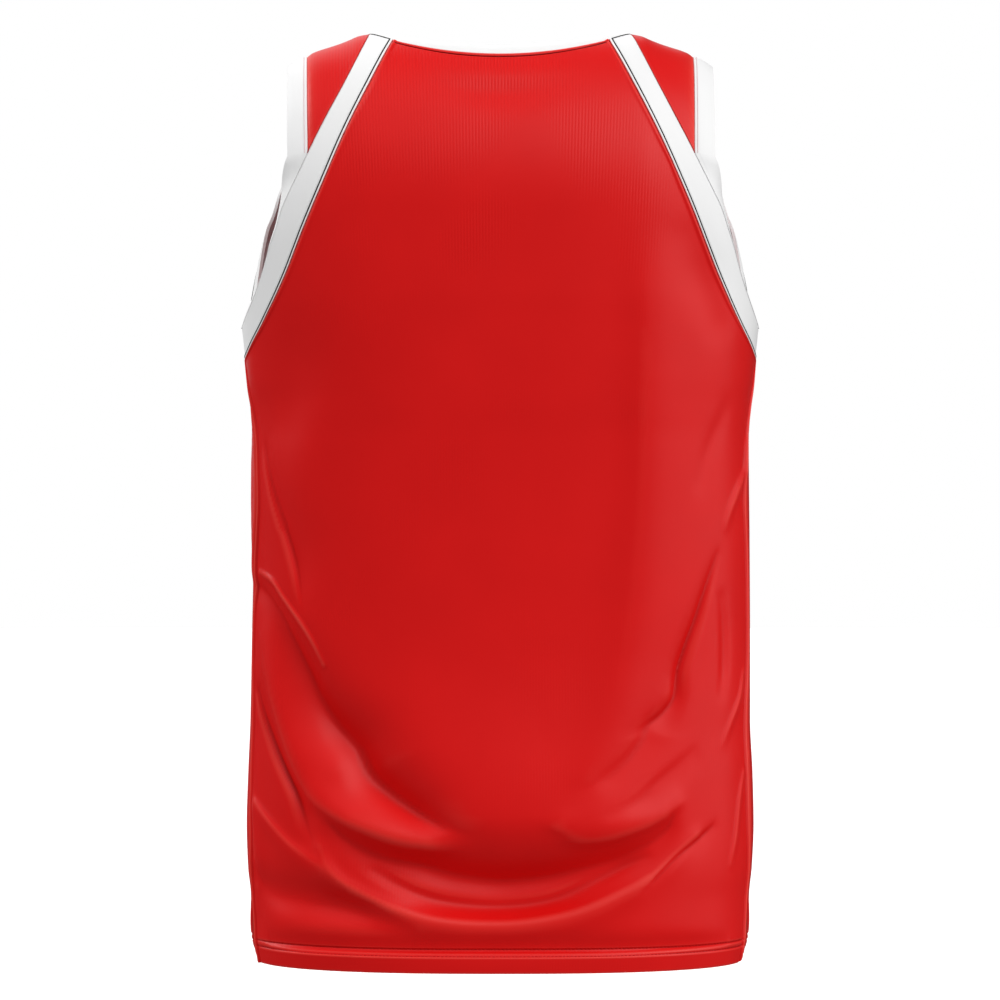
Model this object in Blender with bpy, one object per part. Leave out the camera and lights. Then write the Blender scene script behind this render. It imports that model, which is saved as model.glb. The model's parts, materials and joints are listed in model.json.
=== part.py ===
"""Basketball jersey: sleeveless, hollow, filled out as it is when worn.

Frame: metres, +Z up. The front faces -Y and the wearer's left side is +X. The origin is the middle of
the line between the two neck points, where the wearer's shoulders carry the cloth.

Every piece of cloth is a grid of places on the garment, each a (turn, down) pair. turn is the angle
round the garment in degrees: 0 at the centre back, 90 at the wearer's left side, 180 at the centre
front and 270 at the right side. down is the drop below the neck points in millimetres. Neighbours
share the places along their seam, so the garment is one skin, which is then given its thickness and
parted along the seams.

Run with: blender --background --python part.py
"""

import bpy
import numpy as np

MM = 0.001

# Driving dimensions, in millimetres.
LENGTH = 755.5  # neck point to hem
HEM_DEPTH = 19.0  # turned-up hem
VENT_TOP = 700.0  # where the side vents start
NECK_HALF_WIDTH = 107.0
BACK_NECK_DROP = 22.4
BACK_NECK_BEND = 0.9  # how the neckline bends: 0.5 is an ellipse and 1 a parabola
FRONT_NECK_DROP = 95.0
FRONT_NECK_BEND = 0.68
SHOULDER_HALF_WIDTH = 158.5  # centre to the armhole seam, on top of the shoulder
BACK_SLOPE = 150.0  # drop in which the back rounds out from the shoulder line
FRONT_SLOPE = 132.0
UNDERARM_POINT = 265.0  # drop of the point where the stripes meet the side seam
ARMHOLE_DROP = 241.0  # drop of the armhole seam under the arm
YOKE_TIP = 105.0  # drop of the yoke's lower tips
ACROSS_TIP = 114.0  # drop of the stripe's inner seam straight across from a tip
STRIPE_NECK_BACK = 8.0  # drop of the stripe's inner corner at the back neck
STRIPE_NECK_FRONT = 27.0
PIPING_WIDTH = 2.0
PIPING_RISE = 0.7
ARMHOLE_BINDING = 18.0
NECK_BINDING = 14.0
BINDING_ROLL = 1.0
CLOTH = 1.5  # wall of a single layer
FOLDED = 2.4  # wall of a binding and of the hem
SEAM_GAP = 0.3
ROUNDNESS = 2.5  # exponent of the horizontal sections: 2 is an ellipse
GIRTH_SCALE = 3.0  # millimetres of girth to a degree of turn, for the folds
NECK_CROWDING = 1.4  # how steps crowd towards the neck, where the shoulder rounds over
EVENING = 10  # passes that even out the rows in a panel's middle
INWARD_IS_UP = 0.2  # how far a steep fold's upper side is the one nearer the centre
LEAST_MITRE = 0.6  # limits how far a mitred corner reaches

# Counts of grid steps.
YOKE_STEPS = 7  # neck to the yoke's tip, along a stripe
ARMHOLE_STEPS = 11  # yoke's tip to underarm, along a stripe
SIDE_STEPS = 25  # underarm to vent
VENT_STEPS = 4
BACK_COLUMNS = 30
FRONT_COLUMNS = 20
OVER_SHOULDER = 12
STRIPE_COLUMNS = 2
PIPING_COLUMNS = 2
BINDING_ROWS = 3


def table(columns, *rows):
    """A table with named columns."""
    return dict(zip(columns.split(), np.array(rows, float).T))


# Horizontal sections: half widths to each side, and depths behind and in front of the side line.
SECTIONS = table(
    "down left right back front",
    (0, 236, 236, 112, 106),
    (60, 230, 230, 115, 115),
    (120, 222, 223, 117, 123),
    (180, 216, 217, 118, 128),
    (215, 212.6, 213, 118, 130),
    (242, 210.9, 211.2, 117, 131),
    (265, 208.6, 208.9, 116, 131),
    (287, 206.2, 206.8, 115, 130),
    (305, 203.6, 204.7, 114, 129),
    (332, 202.0, 203.5, 112, 127),
    (414, 201.7, 204.2, 109, 121),
    (500, 203.1, 204.6, 108, 117),
    (560, 204.2, 204.6, 110, 116),
    (604, 206.0, 206.6, 112, 116),
    (645, 207.2, 207.5, 114, 117),
    (680, 206.1, 206.0, 116, 118),
    (702, 203.8, 203.8, 116, 118),
    (756, 202.7, 202.2, 117, 118),
)

# The shoulder line: its drop at each distance from the centre.
SHOULDER = table(
    "across down",
    (0, 0),
    (107, 0.2),
    (115, 1.4),
    (123, 4.7),
    (131, 7.8),
    (139.5, 10.6),
    (148, 13.2),
    (156, 16.6),
    (165, 22.5),
    (176, 31),
)

# Seams between panel and stripe: distance from the centre to each side, at each drop.
BACK_INNER = table(
    "down left right",
    (8, 89.2, 90.8),
    (47, 106.5, 108.8),
    (88, 125.6, 128.3),
    (128, 142.5, 145.8),
    (160, 156.2, 159.4),
    (202, 173.8, 176.8),
    (236, 191.9, 192.4),
    (258, 204.4, 204.8),
    (262.5, 206.6, 207),
    (265, 208, 208.4),
)
FRONT_INNER = table(
    "down left right",
    (27, 100.5, 100.5),
    (60, 119, 119),
    (100, 141, 141),
    (140, 161, 161),
    (175, 177, 177),
    (210, 190.5, 190.5),
    (240, 201, 201),
    (254, 205, 205),
    (260, 206.9, 207),
    (263.5, 208, 208.2),
    (265, 208.4, 208.7),
)

# Seams between stripe and yoke, then between stripe and armhole binding.
BACK_OUTER = table(
    "down left right",
    (0.3, 106.6, 106.6),
    (10, 108.8, 110.6),
    (17, 111.7, 113.2),
    (29, 116.6, 118.3),
    (48, 125.4, 127),
    (64, 133.1, 134.8),
    (80, 141.5, 142.7),
    (95, 149.2, 150),
    (105, 153.4, 155.3),
    (127, 163.6, 166.3),
    (140, 170.2, 173),
    (151, 174.8, 178),
    (160, 177.3, 180.8),
    (176, 183.5, 186.3),
    (202, 191.9, 194),
    (219, 199, 200.5),
    (231, 205, 205.6),
    (238, 208.6, 209),
    (241, 210.2, 210.6),
)
FRONT_OUTER = table(
    "down left right",
    (0.3, 106.6, 106.6),
    (13, 112, 112),
    (30, 121, 121),
    (60, 137, 137),
    (105, 162, 162),
    (120, 171.5, 171.5),
    (140, 184, 184),
    (151, 190, 190),
    (165, 196.5, 196.5),
    (186, 202, 202),
    (205, 205.3, 205.3),
    (220, 207.2, 207.2),
    (232, 208.8, 208.8),
    (239, 210.2, 210.2),
    (241, 210.7, 210.9),
)

# The side seams, by how far they lie behind the side line, and the front's edge along the vent.
SIDE_SEAM = table(
    "down behind",
    (265, 13),
    (300, 24),
    (340, 35),
    (380, 39),
    (440, 34),
    (500, 33),
    (560, 39),
    (640, 42),
    (700, 38),
    (756, 40),
)
FRONT_VENT = table("down behind", (700, 38), (716, 25), (736, 9), (756, -6))

# How the armhole binding leans: parts of its width outwards and towards the armhole's centre, by the
# angle about that centre from straight down (0) to the shoulder (180), alike in front and behind.
ARMHOLE_CENTRE = 130.0
ARMHOLE_LEAN = table(
    "angle out hub",
    (0, -0.35, 0.93),
    (30, -0.30, 0.95),
    (58, -0.12, 0.99),
    (70, 0.03, 1.00),
    (76, 0.12, 0.99),
    (84, 0.33, 0.95),
    (92, 0.61, 0.79),
    (99, 0.83, 0.56),
    (105, 0.92, 0.40),
    (125, 0.91, 0.42),
    (180, 0.87, 0.49),
)

# How the neck binding leans: inwards and up, by the angle about the neck from the centre back.
NECK_CENTRE_BEHIND = 10.0
NECK_LEAN = table(
    "angle inward up",
    (0, 0.79, 0.61),
    (35, 0.84, 0.54),
    (56, 0.92, 0.40),
    (76, 0.99, 0.14),
    (95, 1.00, -0.06),
    (115, 0.95, 0.30),
    (140, 0.68, 0.73),
    (180, 0.34, 0.94),
)


def fold(half, over, under, *points):
    """A fold on the back or the front: half-widths above and below its line, in millimetres, and its
    line's points: across (plus is the wearer's left), down, and height (minus is a trough)."""
    return {"half": half, "over": over, "under": under, **table("across down height", *points)}


FOLDS = (
    # The long trough from the left side down to the seat, crisp above, and the roll below it.
    fold("back", 12, 24, (194, 440, -2), (167, 488, -6), (147, 532, -8), (123, 566, -9), (97, 607, -9), (45, 639, -3)),
    fold("back", 18, 15, (183, 492, 3), (166, 556, 6), (131, 595, 7), (95, 623, 7), (44, 649, 5)),
    # The right roll, and the crease along its upper edge.
    fold("back", 18, 13, (-48, 647, 5), (-79, 633, 6), (-119, 617, 6), (-151, 591, 4), (-171, 556, 2)),
    fold("back", 12, 13, (-173, 431, -1), (-163, 461, -3), (-150, 524, -5), (-123, 556, -4), (-73, 606, -2)),
    # The seat stands out over a deep U-shaped trough and the roll under it.
    fold("back", 90, 30, (60, 600, 4), (0, 612, 5), (-60, 600, 4)),
    fold("back", 15, 12, (144, 639, -3), (119, 659, -6), (86, 669, -8), (9, 681, -9), (-68, 667, -8), (-136, 636, -3)),
    fold("back", 12, 18, (135, 668, 3), (96, 698, 5), (0, 714, 5), (-52, 703, 5), (-104, 672, 5), (-135, 643, 3)),
    # The left corner's trough above the hem.
    fold("back", 12, 17, (185, 645, -2), (144, 672, -5), (123, 697, -6), (88, 713, -2)),
    # Broad hollows beside the shoulder blades.
    fold("back", 32, 24, (-111, 199, -1.5), (-117, 302, -3), (-115, 429, -3), (-95, 524, -2)),
    fold("back", 30, 30, (150, 215, -2), (172, 262, -3), (180, 300, -2)),
    # The front hangs from the chest in softer folds of the same kind.
    fold("front", 14, 24, (190, 420, -2), (160, 480, -5), (125, 545, -6), (80, 600, -5), (35, 630, -2)),
    fold("front", 18, 15, (186, 500, 3), (150, 570, 5), (100, 620, 5), (40, 650, 3)),
    fold("front", 15, 22, (-188, 455, -2), (-158, 515, -5), (-118, 575, -6), (-60, 622, -3)),
    fold("front", 18, 14, (-180, 545, 3), (-140, 600, 5), (-85, 640, 5), (-30, 660, 3)),
    fold("front", 80, 34, (65, 590, 3), (-10, 604, 4), (-70, 592, 3)),
    fold("front", 15, 13, (120, 655, -3), (70, 676, -5), (-5, 688, -6), (-80, 674, -5), (-130, 648, -2)),
    fold("front", 13, 18, (130, 680, 2), (60, 708, 4), (-10, 716, 4), (-80, 704, 4), (-135, 668, 2)),
    fold("front", 26, 26, (128, 215, -2), (140, 300, -3), (138, 390, -2)),
    fold("front", 28, 26, (-122, 200, -2), (-132, 290, -3), (-128, 370, -2)),
)


def smooth(knots, values, at):
    """Values at the given places on a cubic through the knots, which never overshoots them."""
    at = np.asarray(at, float)
    steps = np.diff(knots)
    slopes = np.diff(values) / steps
    before, after = slopes[:-1], slopes[1:]
    monotone = before * after > 0
    tangents = np.concatenate([slopes[:1], np.zeros(len(before)), slopes[-1:]])
    tangents[1:-1][monotone] = 2 * (before * after)[monotone] / (before + after)[monotone]
    i = np.clip(np.searchsorted(knots, at) - 1, 0, len(steps) - 1)
    t = np.clip((at - knots[i]) / steps[i], 0, 1)
    return (
        values[i] * (1 + 2 * t) * (1 - t) ** 2
        + values[i + 1] * t**2 * (3 - 2 * t)
        + steps[i] * (tangents[i] * t * (1 - t) ** 2 - tangents[i + 1] * t**2 * (1 - t))
    )


def half_width(turn, down):
    """Distance from the centre to the side that a place is on."""
    left = smooth(SECTIONS["down"], SECTIONS["left"], down)
    right = smooth(SECTIONS["down"], SECTIONS["right"], down)
    return np.where(np.sin(np.radians(turn)) >= 0, left, right)


def depth(turn, down):
    """Depth behind or in front of the side line, whichever a place is on."""
    back = smooth(SECTIONS["down"], SECTIONS["back"], down)
    front = smooth(SECTIONS["down"], SECTIONS["front"], down)
    return np.where(np.cos(np.radians(turn)) >= 0, back, front)


def slope(turn):
    """Drop in which the cloth rounds out from the shoulder line, behind or in front."""
    return np.where(np.cos(np.radians(turn)) >= 0, BACK_SLOPE, FRONT_SLOPE)


def shoulder(across):
    """Drop of the shoulder line at a distance from the centre."""
    return smooth(SHOULDER["across"], SHOULDER["down"], np.abs(across))


def plain(turn, down):
    """The garment without its folds: points in millimetres."""
    sine, cosine = np.sin(np.radians(turn)), np.cos(np.radians(turn))
    across = half_width(turn, down) * sine
    drop = np.clip((down - shoulder(across)) / slope(turn), 0, 1)
    rounding = np.sqrt(np.clip(1 - (1 - drop) ** 2, 0, 1))
    section = np.clip(1 - np.abs(sine) ** ROUNDNESS, 0, 1) ** (1 / ROUNDNESS)
    return np.stack([across, np.sign(cosine) * depth(turn, down) * section * rounding, -down + 0 * across], -1)


def turn_of(across, down, front=False):
    """The turn of a place that lies a distance across from the centre, plus towards the left."""
    side = np.where(np.asarray(across) >= 0, 90, 270)
    angle = np.degrees(np.arcsin(np.clip(np.abs(across) / half_width(side, down), 0, 1)))
    angle = 180 - angle if front else angle
    return np.where(side == 90, angle, 360 - angle)


def turn_behind(behind, down, left):
    """The turn of a place near the side line, from how far it lies behind that line."""
    ratio = np.abs(behind) / depth(np.where(np.asarray(behind) >= 0, 0, 180), down)
    angle = np.degrees(np.arcsin((1 - ratio**ROUNDNESS) ** (1 / ROUNDNESS)))
    angle = np.where(np.asarray(behind) >= 0, angle, 180 - angle)
    return angle if left else 360 - angle


def fold_height(turn, down):
    """Height of all the folds together, in millimetres along the cloth's normal."""
    turn, down = np.broadcast_arrays(np.asarray(turn, float), np.asarray(down, float))
    total = np.zeros(turn.shape)
    for each in FOLDS:
        front = each["half"] == "front"
        centre = 180 if front else 0
        line_turn = turn_of(each["across"], each["down"], front)
        line_girth = GIRTH_SCALE * ((line_turn - centre + 180) % 360 - 180)
        girth = GIRTH_SCALE * ((turn - centre + 180) % 360 - 180)
        steps = np.linspace(0, len(line_girth) - 1, 6 * len(line_girth))
        knots = np.arange(len(line_girth))
        line = [smooth(knots, values, steps) for values in (line_girth, each["down"], each["height"])]
        nearest = np.full(turn.shape, np.inf)
        height = np.zeros(turn.shape)
        for a in range(len(steps) - 1):
            run = np.array([line[0][a + 1] - line[0][a], line[1][a + 1] - line[1][a]])
            length = np.hypot(*run)
            upward = np.array([run[1], -run[0]]) / length
            middle = (line[0][a] + line[0][a + 1]) / 2
            upward *= 1 if -upward[1] - INWARD_IS_UP * np.sign(middle) * upward[0] > 0 else -1
            away = np.stack([girth - line[0][a], down - line[1][a]], -1)
            t = np.clip(away @ run / length**2, 0, 1)
            offset = away - t[..., None] * run
            width = np.where(offset @ upward > 0, each["over"], each["under"])
            distance = np.hypot(offset[..., 0], offset[..., 1]) / width
            closer = distance < nearest
            nearest = np.where(closer, distance, nearest)
            height = np.where(closer, line[2][a] + t * (line[2][a + 1] - line[2][a]), height)
        total += height * np.exp(-(nearest**2))
    # The hem is stitched double, so the folds fade out towards it.
    return total * np.clip((LENGTH - down) / (2 * HEM_DEPTH), 0, 1)


def cloth(places):
    """Points of the folded garment for a grid of places."""
    turn, down = places[..., 0], places[..., 1]
    points = plain(turn, down)
    reach = np.stack([half_width(turn, down), depth(turn, down)], -1)
    flat = points[..., :2] / reach
    outward = np.sign(flat) * np.abs(flat) ** (ROUNDNESS - 1) / reach
    outward /= np.maximum(np.linalg.norm(outward, axis=-1, keepdims=True), 1e-9)
    points[..., :2] += outward * fold_height(turn, down)[..., None]
    return points


def between(start, end, columns):
    """A grid of places from one seam's places to another's."""
    t = np.linspace(0, 1, columns + 1)[None, :, None]
    return start[:, None] * (1 - t) + end[:, None] * t


def places(turn, down):
    """Places from turns and drops."""
    return np.stack(np.broadcast_arrays(np.asarray(turn, float), np.asarray(down, float)), -1)


def side_seam(down, left):
    """Turns of the side seam."""
    return turn_behind(smooth(SIDE_SEAM["down"], SIDE_SEAM["behind"], down), down, left)


def stretch(seam, left, front, start, end, end_turn, steps, crowding=1.0):
    """Places along a stretch of a seam, in even steps, or ones that crowd towards its start. With an
    end turn, the stretch closes on that turn."""
    down = np.linspace(start, end, 200)
    across = smooth(seam["down"], seam["left" if left else "right"], down)
    turn = turn_of(across if left else -across, down, front)
    if end_turn is not None:
        turn[-1] = end_turn
    points = plain(turn, down)
    length = np.concatenate([[0], np.cumsum(np.linalg.norm(np.diff(points, axis=0), axis=-1))])
    at = length[-1] * np.linspace(0, 1, steps + 1) ** crowding
    return places(np.interp(at, length, turn), np.interp(at, length, down))


def stripe_seam(seam, left, front, start, middle, end):
    """Places along a seam of a stripe, from the neck past the yoke's tip to the side seam."""
    upper = stretch(seam, left, front, start, middle, None, YOKE_STEPS, NECK_CROWDING)
    under_arm = side_seam(UNDERARM_POINT, left)
    lower = stretch(seam, left, front, middle, end, under_arm, ARMHOLE_STEPS)
    return np.concatenate([upper, lower[1:]])


def inner_seam(left, front, inset=0.0):
    """Places along a stripe's inner seam, neck to underarm, moved by the inset towards the panel."""
    start = STRIPE_NECK_FRONT if front else STRIPE_NECK_BACK
    seam = FRONT_INNER if front else BACK_INNER
    line = stripe_seam(seam, left, front, start, ACROSS_TIP, UNDERARM_POINT)
    turn, down = line[:, 0], line[:, 1]
    if inset:
        girth_way, down_way = np.gradient(line * np.array([GIRTH_SCALE, 1.0]), axis=0).T
        length = np.hypot(girth_way, down_way)
        turn += inset * (1 if front == left else -1) * down_way / length / GIRTH_SCALE
        down += inset * np.abs(girth_way) / length
        down[-1] = UNDERARM_POINT + inset
        turn[-1] = side_seam(down[-1], left)
    down[0] = neck_down(turn[0], front)
    return places(turn, down)


def outer_seam(left, front):
    """Places along a stripe's outer seam, neck to underarm."""
    seam = FRONT_OUTER if front else BACK_OUTER
    return stripe_seam(seam, left, front, seam["down"][0], YOKE_TIP, ARMHOLE_DROP)


def neck_down(turn, front):
    """Drop of the neck seam at a turn."""
    drop, bend = (FRONT_NECK_DROP, FRONT_NECK_BEND) if front else (BACK_NECK_DROP, BACK_NECK_BEND)
    down = np.full(np.shape(turn), 0.5 * drop)
    for _ in range(12):
        across = np.abs(half_width(turn, down) * np.sin(np.radians(turn)))
        down = drop * np.clip(1 - (across / NECK_HALF_WIDTH) ** 2, 0, 1) ** bend
    return down


def panel(front):
    """Places of the back or front panel, from the neck to the hem."""
    sides = {}
    for left in (True, False):
        upper = inner_seam(left, front, PIPING_WIDTH)
        seam_down = np.linspace(upper[-1, 1], VENT_TOP, SIDE_STEPS + 1)[1:]
        vent_down = np.linspace(VENT_TOP, LENGTH, VENT_STEPS + 1)[1:]
        vent_turn = side_seam(vent_down, left)
        if front:
            vent_turn = turn_behind(smooth(FRONT_VENT["down"], FRONT_VENT["behind"], vent_down), vent_down, left)
        side = places(side_seam(seam_down, left), seam_down)
        sides[left] = np.concatenate([upper, side, places(vent_turn, vent_down)])
    if front:
        grid = between(sides[True], sides[False], FRONT_COLUMNS)
    else:
        grid = between(sides[False] - np.array([360.0, 0.0]), sides[True], BACK_COLUMNS)
    # Away from the sides the rows are evened out, down to the vents.
    inside = np.sin(np.linspace(0, np.pi, grid.shape[1])) ** 0.5
    for _ in range(EVENING):
        down = grid[: -VENT_STEPS, :, 1]
        mean = (down[:-2] + 2 * down[1:-1] + down[2:]) / 4
        down[1:-1] += (mean - down[1:-1]) * inside
    # The rows sag to the neckline at the top and level out below it.
    dip = neck_down(grid[0, :, 0], front) - grid[0, :, 1]
    dip[[0, -1]] = 0
    settle = YOKE_STEPS + ARMHOLE_STEPS - 2 if front else YOKE_STEPS
    for row in range(settle):
        grid[row, :, 1] += dip * (1 - row / settle) ** 1.5
    return grid


def stripe(left, front):
    """Places of a stripe: its rows run from its inner to its outer seam."""
    return between(inner_seam(left, front), outer_seam(left, front), STRIPE_COLUMNS)


def piping(left, front):
    """Places of the piping between stripe and panel."""
    return between(inner_seam(left, front, PIPING_WIDTH), inner_seam(left, front), PIPING_COLUMNS)


def yoke(left):
    """Places of a shoulder yoke: each row runs over the shoulder, from the back to the front stripe."""
    back = outer_seam(left, False)[: YOKE_STEPS + 1]
    front = outer_seam(left, True)[: YOKE_STEPS + 1]
    rows = []
    for behind, ahead, on_top in zip(
        back, front, np.linspace(NECK_HALF_WIDTH - 0.2, SHOULDER_HALF_WIDTH, YOKE_STEPS + 1)
    ):
        row = []
        for end, is_front in ((behind, False), (ahead, True)):
            across_end = np.abs(half_width(*end) * np.sin(np.radians(end[0])))
            rise = np.arccos(1 - (end[1] - shoulder(across_end)) / slope(end[0]))
            t = np.linspace(1, 0, OVER_SHOULDER // 2 + 1)
            across = on_top + (across_end - on_top) * t
            down = shoulder(across) + slope(end[0]) * (1 - np.cos(rise * t))
            line = places(turn_of(across if left else -across, down, is_front), down)
            line[0] = end
            row.append(line[::-1] if is_front else line[:-1])
        rows.append(np.concatenate(row))
    return np.array(rows)


def ribbon(base, lean, width, roll):
    """Rows of points from a closed seam to a binding's free edge. lean is the unit way across it."""
    along = np.roll(base, -1, 0) - np.roll(base, 1, 0)
    normal = np.cross(along, lean)
    normal /= np.linalg.norm(normal, axis=-1, keepdims=True)
    centre = base.mean(0)
    normal *= np.sign(np.sum(normal * (base - centre), -1).sum())
    steps = np.linspace(0, 1, BINDING_ROWS + 1)
    return np.array([base + lean * width * t + normal * roll * np.sin(np.pi * t) for t in steps])


def armhole_binding(left, skins):
    """Points of an armhole binding, from the seam round the armhole to its edge."""
    side = "left" if left else "right"
    back = skins["back_stripe_" + side][YOKE_STEPS:, -1][::-1]
    front = skins["front_stripe_" + side][YOKE_STEPS:, -1]
    base = np.concatenate([back, skins["shoulder_yoke_" + side][-1, 1:-1], front[:-1]])
    to_hub = np.stack([-base[:, 1], -ARMHOLE_CENTRE - base[:, 2]], -1)
    to_hub /= np.linalg.norm(to_hub, axis=-1, keepdims=True)
    angle = np.degrees(np.arccos(np.clip(to_hub[:, 1], -1, 1)))
    out = smooth(ARMHOLE_LEAN["angle"], ARMHOLE_LEAN["out"], angle)
    hub = smooth(ARMHOLE_LEAN["angle"], ARMHOLE_LEAN["hub"], angle)
    lean = np.stack([out * (1 if left else -1), hub * to_hub[:, 0], hub * to_hub[:, 1]], -1)
    return ribbon(base, lean / np.linalg.norm(lean, axis=-1, keepdims=True), ARMHOLE_BINDING, BINDING_ROLL)


def neck_binding(skins):
    """Points of the neck binding, from the neck seam to its edge."""

    def over(side):
        """The neck ends of the pieces on one side, back to front."""
        return [
            skins["back_piping_" + side][0],
            skins["back_stripe_" + side][0],
            skins["shoulder_yoke_" + side][0],
            skins["front_stripe_" + side][0][::-1],
            skins["front_piping_" + side][0][::-1],
        ]

    left = [skins["back_panel"][0]] + over("left") + [skins["front_panel"][0]]
    right = [line[::-1] for line in over("right")[::-1]]
    base = np.concatenate([line[:-1] for line in left + right])
    from_centre = base[:, :2] - np.array([0.0, NECK_CENTRE_BEHIND])
    from_centre /= np.linalg.norm(from_centre, axis=-1, keepdims=True)
    angle = np.degrees(np.arccos(np.clip(from_centre[:, 1], -1, 1)))
    inward = smooth(NECK_LEAN["angle"], NECK_LEAN["inward"], angle)
    up = smooth(NECK_LEAN["angle"], NECK_LEAN["up"], angle)
    lean = np.concatenate([-from_centre * inward[:, None], up[:, None]], -1)
    return ribbon(base, lean / np.linalg.norm(lean, axis=-1, keepdims=True), NECK_BINDING, BINDING_ROLL)


def quads(grid, ring):
    """Corner indices of the grid's quads, in rows and columns."""
    rows, columns = grid.shape[:2]
    last = columns if ring else columns - 1
    r, c = np.meshgrid(np.arange(rows - 1), np.arange(last), indexing="ij")
    after = (c + 1) % columns
    corners = [r * columns + c, r * columns + after, (r + 1) * columns + after, (r + 1) * columns + c]
    return np.stack(corners, -1).reshape(-1, 4)


def facing(points, faces):
    """Unit normals of quads."""
    a, b, c, d = (points[faces[:, k]] for k in range(4))
    normal = np.cross(c - a, d - b)
    return normal / np.maximum(np.linalg.norm(normal, axis=-1, keepdims=True), 1e-12)


def shared_normals(skins, rings):
    """Each skin's quads, turned outwards, and the ways in from its points, mitred where pieces meet."""
    faces, gathered = {}, {}
    for name, grid in skins.items():
        points = grid.reshape(-1, 3)
        found = quads(grid, name in rings)
        normals = facing(points, found)
        middles = points[found].mean(1) * np.array([1.0, 1.0, 0.0])
        if np.sum(normals * middles) < 0:
            found, normals = found[:, ::-1], -normals
        faces[name] = found
        for corners, normal in zip(found, normals):
            for index in corners:
                gathered.setdefault(tuple(np.round(points[index], 3)), []).append(normal)
    inward = {}
    for name, grid in skins.items():
        points = grid.reshape(-1, 3)
        ways = np.empty_like(points)
        for index, point in enumerate(points):
            around = np.array(gathered[tuple(np.round(point, 3))])
            mean = around.mean(0)
            mean /= np.linalg.norm(mean)
            ways[index] = -mean / max(np.mean(around @ mean), LEAST_MITRE)
        inward[name] = ways.reshape(grid.shape)
    return faces, inward


def part_seams(skin, inward, ring):
    """How far each point moves, within the cloth, to draw the edges back by half the seam gap."""
    moves = np.zeros_like(skin)
    sides = [(np.s_[0], np.s_[1]), (np.s_[-1], np.s_[-2])]
    if not ring:
        sides += [(np.s_[:, 0], np.s_[:, 1]), (np.s_[:, -1], np.s_[:, -2])]
    for edge, next_in in sides:
        line = skin[edge]
        if ring:
            along = np.roll(line, -1, 0) - np.roll(line, 1, 0)
        else:
            along = np.gradient(line, axis=0)
        way = np.cross(along, inward[edge])
        way /= np.linalg.norm(way, axis=-1, keepdims=True)
        way *= np.sign(np.sum(way * (skin[next_in] - line)))
        moves[edge] += way * SEAM_GAP / 2
    return moves


def wall(name, skin, faces, inward, thickness, relief, material, ring):
    """A closed wall of cloth from its outer skin: a grid of points with its faces and ways in."""
    outer = skin + part_seams(skin, inward, ring)
    inner = outer + inward * thickness[..., None]
    outer -= inward * relief[..., None]
    rows, columns = skin.shape[:2]
    count = rows * columns
    index = np.arange(count).reshape(rows, columns)
    edges = [index[0], index[-1][::-1]] if ring else [
        np.concatenate([index[0], index[1:, -1], index[-1, -2::-1], index[-2:0:-1, 0]])
    ]
    rims = []
    for edge in edges:
        after = np.roll(edge, -1)
        rims.append(np.stack([after, edge, edge + count, after + count], -1))
    rims = np.concatenate(rims)
    # The rim runs with the outer quads' turning, whichever way those were laid.
    first = {(q[k], q[(k + 1) % 4]) for q in faces for k in range(4)}
    if (rims[0][0], rims[0][1]) in first:
        rims = rims[:, ::-1]
    every = np.concatenate([faces, faces[:, ::-1] + count, rims])
    points = np.concatenate([outer.reshape(-1, 3), inner.reshape(-1, 3)]) * MM
    mesh = bpy.data.meshes.new(name)
    mesh.from_pydata(points.tolist(), [], every.tolist())
    mesh.materials.append(material)
    mesh.shade_smooth()
    mesh.set_sharp_from_angle(angle=np.radians(50))
    piece = bpy.data.objects.new(name, mesh)
    bpy.context.collection.objects.link(piece)
    return piece


def fabric(name, colour, roughness):
    """A plain cloth material."""
    material = bpy.data.materials.new(name)
    material.use_nodes = True
    shader = material.node_tree.nodes["Principled BSDF"]
    shader.inputs["Base Color"].default_value = (*colour, 1.0)
    shader.inputs["Roughness"].default_value = roughness
    shader.inputs["Metallic"].default_value = 0.0
    return material


def clear_scene():
    """Removes what the startup scene holds."""
    for thing in list(bpy.data.objects):
        bpy.data.objects.remove(thing)


def build():
    """Makes every piece of the jersey."""
    clear_scene()
    red = fabric("red_polyester", (0.55, 0.012, 0.012), 0.45)
    white = fabric("white_polyester", (0.86, 0.86, 0.86), 0.5)
    skins = {"back_panel": cloth(panel(False)), "front_panel": cloth(panel(True))}
    for left in (True, False):
        side = "left" if left else "right"
        for front in (False, True):
            half = "front_" if front else "back_"
            skins[half + "stripe_" + side] = cloth(stripe(left, front))
            skins[half + "piping_" + side] = cloth(piping(left, front))
        skins["shoulder_yoke_" + side] = cloth(yoke(left))
    rings = {"neck_binding"}
    skins["neck_binding"] = neck_binding(skins)
    for left in (True, False):
        name = "armhole_binding_" + ("left" if left else "right")
        rings.add(name)
        skins[name] = armhole_binding(left, skins)
    faces, inward = shared_normals(skins, rings)
    for name, skin in skins.items():
        folded = -skin[:, :, 2] > LENGTH - HEM_DEPTH if "panel" in name else name in rings
        thickness = np.where(folded, FOLDED, np.full(skin.shape[:2], CLOTH))
        relief = np.zeros(skin.shape[:2])
        if "piping" in name:
            relief[:, 1:-1] = PIPING_RISE
        material = red if "panel" in name or "yoke" in name else white
        wall(name, skin, faces[name], inward[name], thickness, relief, material, name in rings)


build()
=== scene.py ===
"""Basketball jersey: the looks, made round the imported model.

The tables are in millimetres and the meshes in metres. +Z is up, the front faces -Y and the wearer's
left side is +X. The camera looks at the back.

Every piece of cloth is a grid of places on the garment, each a (turn, down) pair: turn is the angle
round it in degrees, 0 at the centre back, 90 at the wearer's left side and 180 at the centre front, and
down is the drop below the neck points. The solids' coarse grids are worked out first, and each is then
cut finer, so that the creases, seams, hems and stitching can be shaped on the same skin.
"""

import json

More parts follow.
